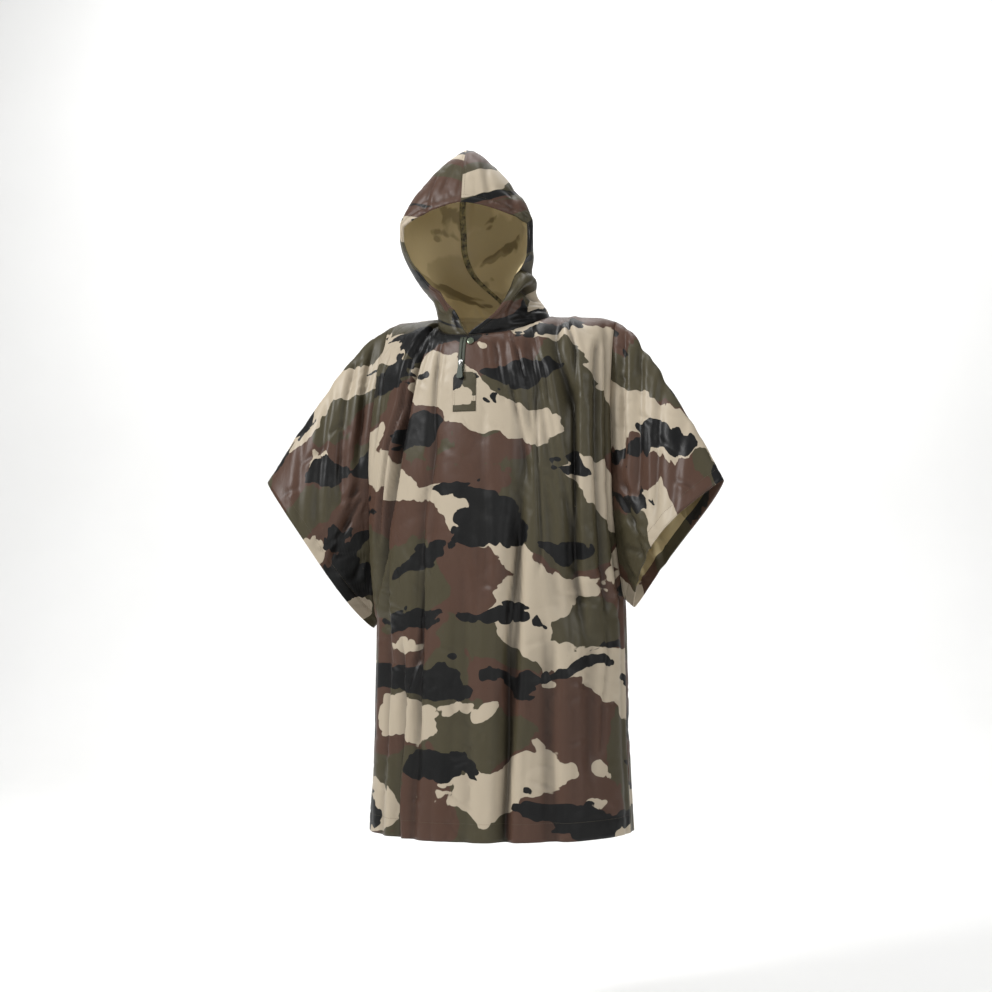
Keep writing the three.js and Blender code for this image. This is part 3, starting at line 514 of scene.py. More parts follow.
def gridNormals(grid, closed, outward):
    down = np.empty_like(grid)
    down[1:-1] = grid[2:] - grid[:-2]
    down[0] = grid[1] - grid[0]
    down[-1] = grid[-1] - grid[-2]
    if closed:
        side = np.roll(grid, -1, axis=1) - np.roll(grid, 1, axis=1)
    else:
        side = np.empty_like(grid)
        side[:, 1:-1] = grid[:, 2:] - grid[:, :-2]
        side[:, 0] = grid[:, 1] - grid[:, 0]
        side[:, -1] = grid[:, -1] - grid[:, -2]
    normal = np.cross(side, down) * outward
    return normal / np.maximum(np.linalg.norm(normal, axis=-1, keepdims=True), tiny)


def runAlong(grid, axis):  # length along a grid's lines
    step = np.linalg.norm(np.diff(grid, axis=axis), axis=-1)
    start = np.zeros_like(np.take(step, [0], axis=axis))
    return np.cumsum(np.concatenate([start, step], axis=axis), axis=axis)


def panelRows():  # closer together over the shoulder and at the underarm
    armShare = body["armholeDrop"] / (body["shoulderEndZ"] - body["hemZ"])
    share = np.arange(body["rows"]) / body["rows"]
    upper = armShare * (0.5 * share + 0.25 * (1 - np.cos(math.pi * share)))
    return np.concatenate([upper, np.linspace(armShare, 1, body["lowerRows"] + 1)])


def panelAcross(neckColumns):
    shoulder = np.linspace(1, body["neckShare"], body["shoulderColumns"] + 1)[:-1]
    line = np.linspace(body["neckShare"], 0, neckColumns + 1)
    half = np.concatenate([shoulder, line])
    return np.concatenate([-half, half[-2::-1]])


def seamLift(distance):  # the cloth stands a little proud beside a seam
    return cloth["seamRise"] * (1 - bell(distance, cloth["seamReach"]))


def puckers(along, distance, seed):  # short ripples that run off a seam
    level = along * 0
    ripple = valueNoise(along, level, seed, 10, 9) * 0.7
    ripple = ripple + valueNoise(along, level, seed + 1, 27, 9) * 0.9
    return ripple * smooth(distance / 4) * np.exp(-distance / 15)


def valleyShadeOf(depth, closed):  # how far a place lies below the cloth around it, from 0 to 1, the mask for the painted shade in creases
    around = depth.copy()
    for _ in range(cloth["valleyShadeRounds"]):
        sides = np.pad(around, ((0, 0), (1, 1)), mode="wrap" if closed else "edge")
        around = (sides[:, :-2] + sides[:, 2:] + around) / 3
    return clamp01((depth - around) / cloth["valleyShadeDepth"])


def turnedIn(toEdge, hem):  # over 0.5 where a hem lies turned to the inside
    return clamp01(1 - toEdge / (2 * hem))


def foldStep(toFold):  # the cloth dips where the turned part ends
    return bell(toFold, cloth["foldWidth"])


def shaped(grid, depth, closed, outward, **facts):  # a panel pressed in by its depth, with a mask of its valleys for painted shade
    moved = grid - gridNormals(grid, closed, outward) * depth[..., None]
    valleyShade = valleyShadeOf(depth, closed)
    return dict(grid=moved, closed=closed, outward=outward, valleyShade=valleyShade, **facts)


def bodyPanel(face):
    across = panelAcross(body["frontNeck"] if face == "front" else body["backNeck"])
    acrossGrid, downGrid = np.meshgrid(across, panelRows())
    outward = -1 if face == "front" else 1
    grid = hangAskew(panelPoint(face, acrossGrid, downGrid))
    folds, creases, nips, lines, drags, seed = {
        "front": (frontFolds, frontCreases, frontNips, frontLines, frontDrags, 11),
        "back": (backFolds, backCreases, backNips, backLines, backDrags, 47),
    }[face]
    x, z = grid[..., 0], grid[..., 2]
    fromTop = runAlong(grid, 0)
    fromSide = runAlong(grid, 1)
    toSide = np.minimum(fromSide, fromSide[:, -1:] - fromSide)
    toHem = fromTop[-1:] - fromTop
    calm = smooth(fromTop / cloth["calm"]) * smooth(toSide / cloth["calm"])
    plain = foldDepth(folds, x, z)
    low = smooth((body["skirtTop"] - z) / body["skirtRun"])  # the skirt hangs in wide planes
    fine = foldDepth(creases, x, z) * (1 - body["skirtCreases"] * low)
    depth = plain * smooth(fromTop / body["foldIn"]) * smooth(toSide / body["foldIn"])
    depth += (fine + nipDepth(nips, x, z) + crumple(x, z, seed)) * calm
    thin = lineDepth(lines, x, z) * smooth(fromTop / body["lineIn"])
    thin = thin * smooth(toSide / body["lineIn"])
    depth += dragDepth(drags, x, z) * (1 + body["skirtDrags"] * low) * calm + thin
    besideArm = bell(toSide - body["armOff"], body["armWidth"]) * smooth(fromTop / 90)
    armDepth = mix(body["armLower"], body["armUpper"], smooth((z + 640) / 120))
    depth += besideArm * armDepth * smooth(toSide / 6)
    depth -= seamLift(np.minimum(fromTop, toSide))
    along = np.where(fromTop < toSide, fromSide, fromTop)
    depth += puckers(along, np.minimum(fromTop, toSide), seed + 5)
    toFold = toHem - body["hemDepth"]
    hemStep = foldStep(toFold) * cloth["foldStep"]
    hemStep += puckers(fromSide, np.abs(toFold), seed + 7) * 0.8
    depth += hemStep * smooth(toSide / 8)
    if face == "front":  # flat under the zip and the patch
        wide = ((x - body["quietX"]) / body["quietWide"]) ** 4
        high = ((z - body["quietZ"]) / body["quietHigh"]) ** 4
        depth = mix(depth, plain, np.exp(-wide - high) * smooth(fromTop / 6))
    middle = across.size // 2
    flat = np.stack([fromSide - fromSide[:, middle:middle + 1], toHem], axis=-1)
    turned = turnedIn(toHem, body["hemDepth"])
    return shaped(grid, depth, False, outward, flat=flat, turned=turned)


def sleevePanel(side):
    rows = panelRows()[: body["rows"] + 1]
    chords = rows / rows[-1]
    chord = np.concatenate([chords, chords[1:-1][::-1]])
    forward = np.concatenate([-np.ones(chords.size), np.ones(chords.size - 2)])
    outs = np.linspace(0, 1, sleeve["rings"] + 1)
    chordGrid, outGrid = np.meshgrid(chord, outs)
    grid = sleevePoint(outGrid, chordGrid, forward[None, :])
    grid[..., 0] *= side
    grid = hangAskew(grid)
    seed = 83 if side > 0 else 131
    x, z = np.abs(grid[..., 0]), grid[..., 2]
    fromArm = runAlong(grid, 0)
    toCuff = fromArm[-1:] - fromArm
    calm = smooth(fromArm / cloth["calm"])
    depth = foldDepth(sleeveFolds, x, z) * smooth(fromArm / sleeve["foldIn"])
    depth += lineDepth(sleeveLines, x, z) * calm
    fine = foldDepth(sleeveCreases, x, z) + nipDepth(sleeveNips, x, z)
    depth += (fine + crumple(x + 0.8 * grid[..., 1], z, seed)) * calm
    closedRun = runAlong(np.concatenate([grid, grid[:, :1]], axis=1), 1)
    ringRun = closedRun[:, :-1]
    depth -= seamLift(fromArm)
    depth += puckers(ringRun, fromArm, seed + 5)
    depth += foldStep(toCuff - sleeve["hem"]) * cloth["foldStep"]
    flat = np.stack([side * fromArm, closedRun[:, -1:] / 2 - ringRun], axis=-1)
    wrap = np.stack([side * fromArm[:, 0], -closedRun[:, -1] / 2], axis=-1)
    turned = turnedIn(toCuff, sleeve["hem"])
    return shaped(grid, depth, True, side, flat=flat, wrap=wrap, turned=turned)


def hoodPanel(side):
    front = np.linspace(0, shoulderAngle, body["frontNeck"] + 1)
    behind = np.linspace(shoulderAngle, math.pi, body["backNeck"] + 1)[1:]
    around = np.concatenate([front, behind]) / math.pi
    aroundGrid, upGrid = np.meshgrid(around, np.linspace(0, 1, hood["rings"] + 1))
    grid = hoodPoint(upGrid, aroundGrid, side)
    grid[0] = neckPoint(around * math.pi, side)
    grid = hangAskew(grid)
    seed = 171 if side > 0 else 211
    x, y, z = (grid[..., k] for k in range(3))
    fromNeck = runAlong(grid, 0)
    fromEdge = runAlong(grid, 1)
    toBrim = fromNeck[-1:] - fromNeck
    toSeam = fromEdge[:, -1:] - fromEdge
    toFace = np.minimum(fromEdge, toBrim)
    reach = smooth(fromNeck / hood["foldIn"]) * smooth(toSeam / hood["foldIn"])

    def ahead(back, run):  # folds that fade out before this far back
        return smooth((back - y) / run)

    depth = np.zeros_like(x)
    if side > 0:
        depth += foldDepth(hoodFolds, x, z) * reach * ahead(20, 60)
    nips = nipDepth(hoodNips, x, z) * ahead(30, 50)
    depth += (foldDepth(hoodCreases, x, z) + nips) * reach
    depth += hood["crumple"] * crumple(x + y, z, seed) * reach
    depth += lineDepth(hoodLines, x, z) * ahead(10, 60) * smooth(fromNeck / 8)
    toNearest = np.minimum(fromNeck, toSeam)
    depth -= seamLift(toNearest)
    depth += puckers(np.where(fromNeck < toSeam, fromEdge, fromNeck), toNearest, seed + 5)
    toFold = toFace - hood["channel"]
    channel = foldStep(toFold) * hood["channelDepth"]
    channel += puckers(fromEdge + fromNeck, np.abs(toFold), seed + 7)
    depth += channel * smooth(toSeam / 8) * smooth(fromNeck / 8)
    aside = np.abs(x - x[:, -1:])  # the half laid out as it lies from its side
    flat = np.stack([side * (y - 0.7 * aside), z - 0.35 * aside], axis=-1)
    return shaped(grid, depth, False, side, flat=flat)


bodyNames = ["frontCloth", "backCloth"]
sleeveNames = ["sleeveLeftCloth", "sleeveRightCloth"]
hoodNames = ["hoodLeftCloth", "hoodRightCloth"]
print("poncho: working out the cloth")
panels = {
    "frontCloth": bodyPanel("front"),
    "backCloth": bodyPanel("back"),
    "sleeveLeftCloth": sleevePanel(1),
    "sleeveRightCloth": sleevePanel(-1),
    "hoodLeftCloth": hoodPanel(1),
    "hoodRightCloth": hoodPanel(-1),
}


def shareSeams(panels):  # panels that meet at a seam point take the mean of their normals there
    sums = {}
    for panel in panels.values():
        panel["normal"] = gridNormals(panel["grid"], panel["closed"], panel["outward"])
        for i, j in borderOf(panel):
            key = tuple(np.round(panel["grid"][i, j] * 10).astype(int))
            sums[key] = sums.get(key, 0) + panel["normal"][i, j]
    for panel in panels.values():
        for i, j in borderOf(panel):
            total = sums[tuple(np.round(panel["grid"][i, j] * 10).astype(int))]
            panel["normal"][i, j] = total / np.linalg.norm(total)


def borderOf(panel):
    rows, columns = panel["grid"].shape[:2]
    border = [(i, j) for i in (0, rows - 1) for j in range(columns)]
    if not panel["closed"]:
        border += [(i, j) for i in range(1, rows - 1) for j in (0, columns - 1)]
    return border


def pulledEdges(panel, gap):  # open edges drawn back by a gap
    grid = panel["grid"]
    moved = grid.copy()

    def towards(step):
        return step * gap / np.maximum(np.linalg.norm(step, axis=-1, keepdims=True), tiny)

    moved[0] += towards(grid[1] - grid[0])
    moved[-1] += towards(grid[-2] - grid[-1])
    if not panel["closed"]:
        moved[:, 0] += towards(grid[:, 1] - grid[:, 0])
        moved[:, -1] += towards(grid[:, -2] - grid[:, -1])
    return moved


def facedOut(vertices, faces):
    a, b, c, d = (vertices[faces[:, k]] for k in range(4))
    halves = (np.einsum("ij,ij->i", a, np.cross(*pair)).sum() for pair in ((b, c), (c, d)))
    return sum(halves) >= 0


def cellsOf(rows, columns):  # row and column of each cell of a grid
    places = np.meshgrid(np.arange(rows - 1), np.arange(columns - 1), indexing="ij")
    return (part.ravel() for part in places)


def addObject(name, data):
    made = bpy.data.objects.new(name, data)
    bpy.context.scene.collection.objects.link(made)
    return made


def wallObject(name, panel, thickness, edgeGap, *materials):  # closed wall, UVs in metres
    outer = pulledEdges(panel, edgeGap)
    rows, columns = outer.shape[:2]
    inner = outer - panel["normal"] * thickness
    vertices = np.concatenate([outer.reshape(-1, 3), inner.reshape(-1, 3)]) * mm
    flat = panel["flat"]
    if panel["closed"]:
        flat = np.concatenate([flat, panel["wrap"][:, None, :]], axis=1)
    spans = columns if panel["closed"] else columns - 1
    i, j = cellsOf(rows, spans + 1)
    across, down = np.arange(spans), np.arange(rows - 1)
    lastRow, lastColumn = np.full_like(across, rows - 1), np.full_like(down, columns - 1)
    sets = [  # corner rows, corner columns, corner layers, material
        ([i, i + 1, i + 1, i], [j, j, j + 1, j + 1], [0, 0, 0, 0], 0),
        ([i, i, i + 1, i + 1], [j, j + 1, j + 1, j], [1, 1, 1, 1], 1),
        ([0 * across] * 4, [across, across + 1, across + 1, across], [0, 0, 1, 1], 2),
        ([lastRow] * 4, [across + 1, across, across, across + 1], [0, 0, 1, 1], 2),
    ]
    if not panel["closed"]:
        sets.append(([down + 1, down, down, down + 1], [0 * down] * 4, [0, 0, 1, 1], 2))
        sets.append(([down, down + 1, down + 1, down], [lastColumn] * 4, [0, 0, 1, 1], 2))
    faces, places, finishes = [], [], []
    for cornerRows, cornerColumns, layers, finish in sets:
        r, c = np.stack(cornerRows, axis=-1), np.stack(cornerColumns, axis=-1)
        faces.append(np.array(layers) * rows * columns + r * columns + c % columns)
        places.append(flat[r, c])
        finishes.append(np.full(len(r), finish))
    faces, places, finishes = map(np.concatenate, (faces, places, finishes))
    if not facedOut(vertices, faces):
        faces, places = faces[:, ::-1], places[:, ::-1]
    mesh = bpy.data.meshes.new(name)
    mesh.from_pydata(vertices.tolist(), [], faces.tolist())
    for material in materials:
        mesh.materials.append(material)
    slots = np.where(finishes == 1, len(materials) - 1, 0)
    mesh.polygons.foreach_set("material_index", slots.astype(np.int32))
    mesh.polygons.foreach_set("use_smooth", finishes < 2)
    layer = mesh.uv_layers.new(name="UVMap")
    layer.data.foreach_set("uv", (places.reshape(-1, 2) * mm + np.array(panel["shift"])).ravel())
    for field in ("valleyShade", "turned"):  # the first field masks the painted shade in creases; turned is over 0.5 where the hem is folded to the inside
        if field in panel:
            values = np.tile(panel[field].ravel(), 2)
            mesh.attributes.new(field, "FLOAT", "POINT").data.foreach_set("value", values)
    mesh.update()
    return addObject(name, mesh)


class Wire:  # a shader socket that takes arithmetic
    def __init__(self, graph, socket):
        self.graph = graph
        self.socket = socket

    def maths(self, operation, *others, clamp=False):
        settings = {"operation": operation, "use_clamp": clamp}
        return self.graph.node("ShaderNodeMath", settings, dict(enumerate([self, *others])))

    def __add__(self, other):
        return self.maths("ADD", other)

    def __sub__(self, other):
        return self.maths("SUBTRACT", other)

    def __rsub__(self, other):
        return self.graph.node("ShaderNodeMath", {"operation": "SUBTRACT"}, {0: other, 1: self})

    def __mul__(self, other):
        return self.maths("MULTIPLY", other)

    __radd__ = __add__
    __rmul__ = __mul__

    def step(self, threshold, sharpness):  # 0 below the threshold, 1 above it
        return ((self - threshold) * sharpness).maths("ADD", 0.5, clamp=True)


class Graph:  # one material's nodes
    def __init__(self, name):
        self.material = bpy.data.materials.new(name)
        self.material.use_nodes = True
        self.tree = self.material.node_tree
        self.tree.nodes.clear()

    def node(self, kind, settings, sockets, out=0):
        made = self.tree.nodes.new(kind)
        for key, value in settings.items():
            setattr(made, key, value)
        for key, value in sockets.items():
            if isinstance(value, Wire):
                self.tree.links.new(value.socket, made.inputs[key])
            else:
                made.inputs[key].default_value = value
        return Wire(self, made.outputs[out]) if made.outputs else None

    def mixed(self, factor, first, second):
        sockets = {0: factor, 6: first, 7: second}
        return self.node("ShaderNodeMix", {"data_type": "RGBA"}, sockets, 2)

    def vector(self, operation, first, second):
        return self.node("ShaderNodeVectorMath", {"operation": operation}, {0: first, 1: second})

    def objectPlace(self):
        return self.node("ShaderNodeTexCoord", {}, {}, 3)

    def scaled(self, place, scale):
        return self.vector("MULTIPLY", place, scale)

    def noise(self, place, scale, detail=2.0, out=0):
        sockets = {"Vector": place, "Scale": scale, "Detail": detail}
        return self.node("ShaderNodeTexNoise", {}, sockets, out)

    def finish(self, **sockets):
        bump = sockets.pop("height", None)
        if bump is not None:
            strength, distance = sockets.pop("strength"), sockets.pop("distance")
            relief = {"Strength": strength, "Distance": distance, "Height": bump}
            sockets["Normal"] = self.node("ShaderNodeBump", {}, relief)
        named = {key.replace("_", " "): value for key, value in sockets.items()}
        shader = self.node("ShaderNodeBsdfPrincipled", {}, named)
        self.node("ShaderNodeOutputMaterial", {}, {"Surface": shader})
        return self.material


def colour(red, green, blue):  # sRGB bytes to a linear colour
    shares = [byte / 255 for byte in (red, green, blue)]
    linear = [((c + 0.055) / 1.055) ** 2.4 if c > 0.04 else c / 12.92 for c in shares]
    return (*linear, 1.0)


camo = {
    "beige": colour(169, 157, 138), "olive": colour(64, 59, 43), "brown": colour(73, 52, 42),
    "dark": colour(9, 10, 12), "khaki": colour(205, 188, 146), "ghost": colour(112, 98, 66),
    # on the next line the near-black colour is painted shade for the creases; the other two are
    # real wear and stains, mixed in at random
    "worn": colour(120, 116, 104), "valleyShade": colour(14, 13, 12), "stain": colour(104, 94, 66),
    "sway": 0.07, "edgeSway": 0.02, "lobeScale": 34, "lobeDepth": 0.045,
    "brownFrom": 0.486, "beigeFrom": 0.56, "spotsFrom": 0.735, "darkFrom": 0.583, "edge": 300,
    # the third share sets how strongly the painted crease shade is laid on
    "bump": 0.5, "wornShare": 0.03, "valleyShadeShare": 0.6, "stainShare": 0.15,
}


def camoFields(graph):
    uv = graph.node("ShaderNodeUVMap", {"uv_map": "UVMap"}, {})

    def swayed(scale, size):
        centred = graph.vector("SUBTRACT", graph.noise(uv, scale, 1.0, 1), (0.5, 0.5, 0.5))
        return graph.scaled(centred, (size, size, 0))

    sway = graph.vector("ADD", swayed(7, camo["sway"]), swayed(26, camo["edgeSway"]))
    place = graph.vector("ADD", uv, sway)
    scale, depth = camo["lobeScale"], camo["lobeDepth"]
    lobes, small = (
        graph.node("ShaderNodeTexVoronoi", {}, {"Vector": place, "Scale": scale * times})
        for times in (1, 2.1)
    )
    scallop = (0.45 - lobes) * depth + (0.45 - small) * (depth * 0.35)

    def field(shift, stretch, scale):
        at = graph.scaled(place, (1, stretch, 1))
        return graph.noise(graph.vector("ADD", at, (shift, shift * 0.7, 0)), scale, 0.6) + scallop

    fingers = (graph.noise(graph.scaled(place, (1, 3.4, 1)), 12, 1.0) - 0.5) * 0.2 + scallop
    dark = field(7.7, 2.4, 5.0) + fingers
    return uv, field(0, 1.4, 4.4), field(3.1, 1.6, 5.2) + fingers * 0.35, dark, field(12.3, 1.4, 9)


def camoColour(graph):
    uv, brown, beige, dark, spots = camoFields(graph)
    base = camo["olive"]
    for field, limit, shade in (
        (brown, "brownFrom", "brown"), (beige, "beigeFrom", "beige"),
        (spots, "spotsFrom", "beige"), (dark, "darkFrom", "dark"),
    ):
        base = graph.mixed(field.step(camo[limit], camo["edge"]), base, camo[shade])
    return uv, base, brown, dark


def attribute(graph, name):
    return graph.node("ShaderNodeAttribute", {"attribute_name": name}, {}, 2)


def clothRelief(graph, uv):  # fine crinkles and the weave
    wide = graph.noise(uv, 26, 2.0)
    fold = (graph.noise(graph.scaled(uv, (1.5, 1, 1)), 40, 1.0) - 0.5).maths("ABSOLUTE") * -0.7
    weave = graph.noise(graph.scaled(uv, (1, 1.3, 1)), 1500, 1.0)
    return wide + fold + weave * 0.05


def outsideCloth():
    graph = Graph("camoCloth")
    uv, base, _, _ = camoColour(graph)
    tone = graph.noise(uv, 14, 3.0)
    worn = graph.mixed(tone * camo["wornShare"], base, camo["worn"])
    # painted shade: darkens the cloth towards near-black where it lies deeper than the cloth
    # around it
    worn = graph.mixed(attribute(graph, "valleyShade") * camo["valleyShadeShare"], worn, camo["valleyShade"])
    return graph.finish(
        Base_Color=worn, Roughness=0.36 + tone * 0.16, IOR=1.31,
        height=clothRelief(graph, uv), strength=camo["bump"], distance=0.0013,
    )


def insideCloth():
    graph = Graph("camoClothInside")
    uv, outer, brown, dark = camoColour(graph)
    shade = dark.step(0.6, 40) * 0.6 + brown.step(0.5, 40) * 0.3
    base = graph.mixed(shade, camo["khaki"], camo["ghost"])
    turned = attribute(graph, "turned")
    tone = graph.noise(uv, 16, 3.0)
    stained = graph.mixed(tone * camo["stainShare"], base, camo["stain"])
    return graph.finish(
        Base_Color=graph.mixed(turned.step(0.5, 60), stained, outer), Roughness=0.5 + tone * 0.16,
        height=clothRelief(graph, uv), strength=camo["bump"], distance=0.0014,
    )


def plainCloth(name, first, second, scale):  # tapes and threads
    graph = Graph(name)
    place = graph.objectPlace()
    tone = graph.noise(place, scale, 3.0)
    rib = graph.noise(graph.scaled(place, (1, 1, 3)), scale * 14, 1.0)
    return graph.finish(
        Base_Color=graph.mixed(tone.step(0.5, 3), first, second), Roughness=0.5 + tone * 0.2,
        height=tone + rib * 0.4, strength=0.4, distance=0.0004,
    )


def hardFinish(name, first, second, metallic, roughness):
    graph = Graph(name)
    place = graph.objectPlace()
    tone = graph.noise(place, 160, 3.0)
    return graph.finish(
        Base_Color=graph.mixed(tone, first, second), Metallic=metallic,
        Roughness=roughness + tone * 0.16, height=tone, strength=0.15, distance=0.0002,
    )


print("poncho: materials")
finishes = {
    "outside": outsideCloth(),
    "inside": insideCloth(),
    "tape": plainCloth("seamTapeCloth", colour(38, 36, 26), colour(150, 140, 98), 120),
    "zipTape": plainCloth("zipTapeCloth", colour(38, 44, 32), colour(52, 58, 42), 220),
    "thread": plainCloth("sewingThread", colour(62, 56, 42), colour(92, 84, 64), 300),
    "teeth": hardFinish("zipCoil", colour(34, 40, 30), colour(58, 64, 48), 0.0, 0.4),
    "slider": hardFinish("sliderMetal", colour(176, 178, 176), colour(206, 206, 202), 1.0, 0.2),
    "pull": hardFinish("pullPlastic", colour(30, 42, 32), colour(44, 56, 42), 0.0, 0.42),
    "stud": hardFinish("studPlastic", colour(70, 80, 66), colour(104, 112, 94), 0.5, 0.24),
}

shareSeams(panels)

pieces = {
    "frontCloth": dict(node="front_panel", shift=(0.13, 0.41), flat=(0.72, 1.02), area=0.7),
    "backCloth": dict(node="back_panel", shift=(2.37, 1.18), flat=(0.72, 1.06), area=0.69),
    "sleeveLeftCloth": dict(node="sleeve_left", shift=(4.71, 0.62), flat=(1.18, 0.4), area=0.17),
    "sleeveRightCloth": dict(node="sleeve_right", shift=(6.29, 2.05), flat=(1.18, 0.4), area=0.17),
    "hoodLeftCloth": dict(node="hood_left", shift=(8.43, 0.87), flat=(0.36, 0.47), area=0.1),
    "hoodRightCloth": dict(node="hood_right", shift=(9.62, 1.31), flat=(0.36, 0.47), area=0.1),
}


def surfaceArea(made):
    return sum(polygon.area for polygon in made.data.polygons) / 2


made = {}
sides = finishes["outside"], finishes["inside"]
for name, facts in pieces.items():
    panels[name]["shift"] = facts["shift"]
    made[name] = wallObject(name, panels[name], cloth["wall"], cloth["edgeGap"], *sides)
    print("poncho:", name, "area", round(surfaceArea(made[name]), 3))


def frontTree():  # outer layer of the front, to find places on it
    grid = panels["frontCloth"]["grid"]
    rows, columns = grid.shape[:2]
    i, j = cellsOf(rows, columns)
    corners = [(i + di) * columns + j + dj for di, dj in ((0, 0), (1, 0), (1, 1), (0, 1))]
    faces = np.stack(corners, axis=-1)
    return BVHTree.FromPolygons(grid.reshape(-1, 3).tolist(), faces.tolist())


frontFinder = frontTree()


def onFront(x, z):
    ahead = Vector((x, -400, z))  # well clear of the cloth
    place, normal, _, _ = frontFinder.ray_cast(ahead, Vector((0, 1, 0)))
    if normal.y > 0:
        normal = -normal
    return np.array(place), np.array(normal)


def frontStrip(xs, zs, facts, inset=None):  # wall that lies on the front
    middle, half = (xs[0] + xs[-1]) / 2, (xs[-1] - xs[0]) / 2
    grid = np.zeros((len(zs), len(xs), 3))
    normal = np.zeros_like(grid)
    for i, z in enumerate(zs):
        narrow = 1 - (inset(z) / half if inset else 0)
        for j, x in enumerate(xs):
            grid[i, j], normal[i, j] = onFront(middle + (x - middle) * narrow, z)
    grid += normal * (facts["lift"] + facts["thickness"])
    flat = np.stack([grid[..., 0], grid[..., 2]], axis=-1)
    return dict(grid=grid, normal=normal, closed=False, flat=flat, shift=(0.52, 0.58))


zipper = {
    "x": -20, "top": -54, "foot": -121, "width": 6, "slit": 1, "sliderTop": -99,
    "thickness": 0.8, "lift": 0.35, "columns": 5, "rows": 40,
}
patch = {
    "left": -35, "right": 11, "top": -122, "foot": -197, "corner": 12,
    "thickness": 0.8, "lift": 0.3, "columns": 25, "cornerRows": 14, "rows": 26, "sewnIn": 2,
}


def cornerInset(z):
    past = min(max(1 - (patch["top"] - z) / patch["corner"], 0), 1)
    return patch["corner"] * (1 - math.sqrt(1 - past * past))


print("poncho: zip tapes and patch")
strips = {}
zipRows = np.linspace(zipper["top"], zipper["foot"], zipper["rows"])
for name, side in (("zipTapeLeft", 1), ("zipTapeRight", -1)):
    inner = zipper["x"] + side * zipper["slit"] / 2
    ends = sorted([inner, inner + side * zipper["width"]])
    strips[name] = frontStrip(np.linspace(*ends, zipper["columns"]), zipRows, zipper)
    made[name] = wallObject(name, strips[name], zipper["thickness"], 0, finishes["zipTape"])
cornerRows = patch["corner"] * np.linspace(0, 1, patch["cornerRows"]) ** 2
straightRows = np.linspace(patch["corner"] + 2, patch["top"] - patch["foot"], patch["rows"])
strips["throatPatch"] = frontStrip(
    np.linspace(patch["left"], patch["right"], patch["columns"]),
    patch["top"] - np.concatenate([cornerRows, straightRows]), patch, cornerInset,
)
made["throatPatch"] = wallObject(
    "throatPatch", strips["throatPatch"], patch["thickness"], 0, finishes["outside"]
)

hoodTape = {"half": 6, "thickness": 0.6, "gap": 0.15, "rumple": 1.6, "seed": 301, "reach": 8}


def hoodTapePanel():  # crumpled strip along the inside of the centre seam
    inward = cloth["wall"] + hoodTape["gap"] + hoodTape["thickness"]
    grid, normals = [], []
    for i in range(2, hood["rings"] - 1):
        line, lineNormals = [], []
        for share in (-1, -0.5, 0, 0.5, 1):
            half = panels["hoodRightCloth" if share < 0 else "hoodLeftCloth"]
            distance = share * hoodTape["half"]
            near, nearNormals = (
                half[key][i, -hoodTape["reach"]:][::-1] for key in ("grid", "normal")
            )
            run = np.linalg.norm(near - near[0], axis=-1)
            place, out = (
                np.array([np.interp(abs(distance), run, values[:, k]) for k in range(3)])
                for values in (near, nearNormals)
            )
            out /= np.linalg.norm(out)
            noise = valueNoise(np.array(float(i)), np.array(distance), hoodTape["seed"], 3.1, 5.0)
            line.append(place - out * (inward + hoodTape["rumple"] * abs(noise)))
            lineNormals.append(-out)
        grid.append(line)
        normals.append(lineNormals)
    grid = np.array(grid)
    flat = np.stack([runAlong(grid, 1), runAlong(grid, 0)], axis=-1)
    return dict(grid=grid, normal=np.array(normals), closed=False, flat=flat, shift=(0, 0))


made["hoodTape"] = wallObject(
    "hoodTape", hoodTapePanel(), hoodTape["thickness"], 0, finishes["tape"]
)


def pathsOn(names, edge, distance, start=0, stop=None):  # lines at a distance inside an edge
    paths = []
    for name in names:
        grid, normal = panels[name]["grid"], panels[name]["normal"]
        if edge in ("left", "right"):
            grid, normal = grid.transpose(1, 0, 2), normal.transpose(1, 0, 2)
        if edge in ("bottom", "right"):
            grid, normal = grid[::-1], normal[::-1]
        run = runAlong(grid, 0)
        lines = np.arange(grid.shape[1])
        index = np.clip((run < distance).sum(axis=0) - 1, 0, grid.shape[0] - 2)
        before, after = run[index, lines], run[index + 1, lines]
        share = ((distance - before) / (after - before))[:, None]
        points = mix(grid[index, lines], grid[index + 1, lines], share)
        outwards = mix(normal[index, lines], normal[index + 1, lines], share)
        paths.append((points[start:stop], outwards[start:stop]))
    return paths


def closedPath(path):
    return tuple(np.concatenate([part, part[:1]]) for part in path)


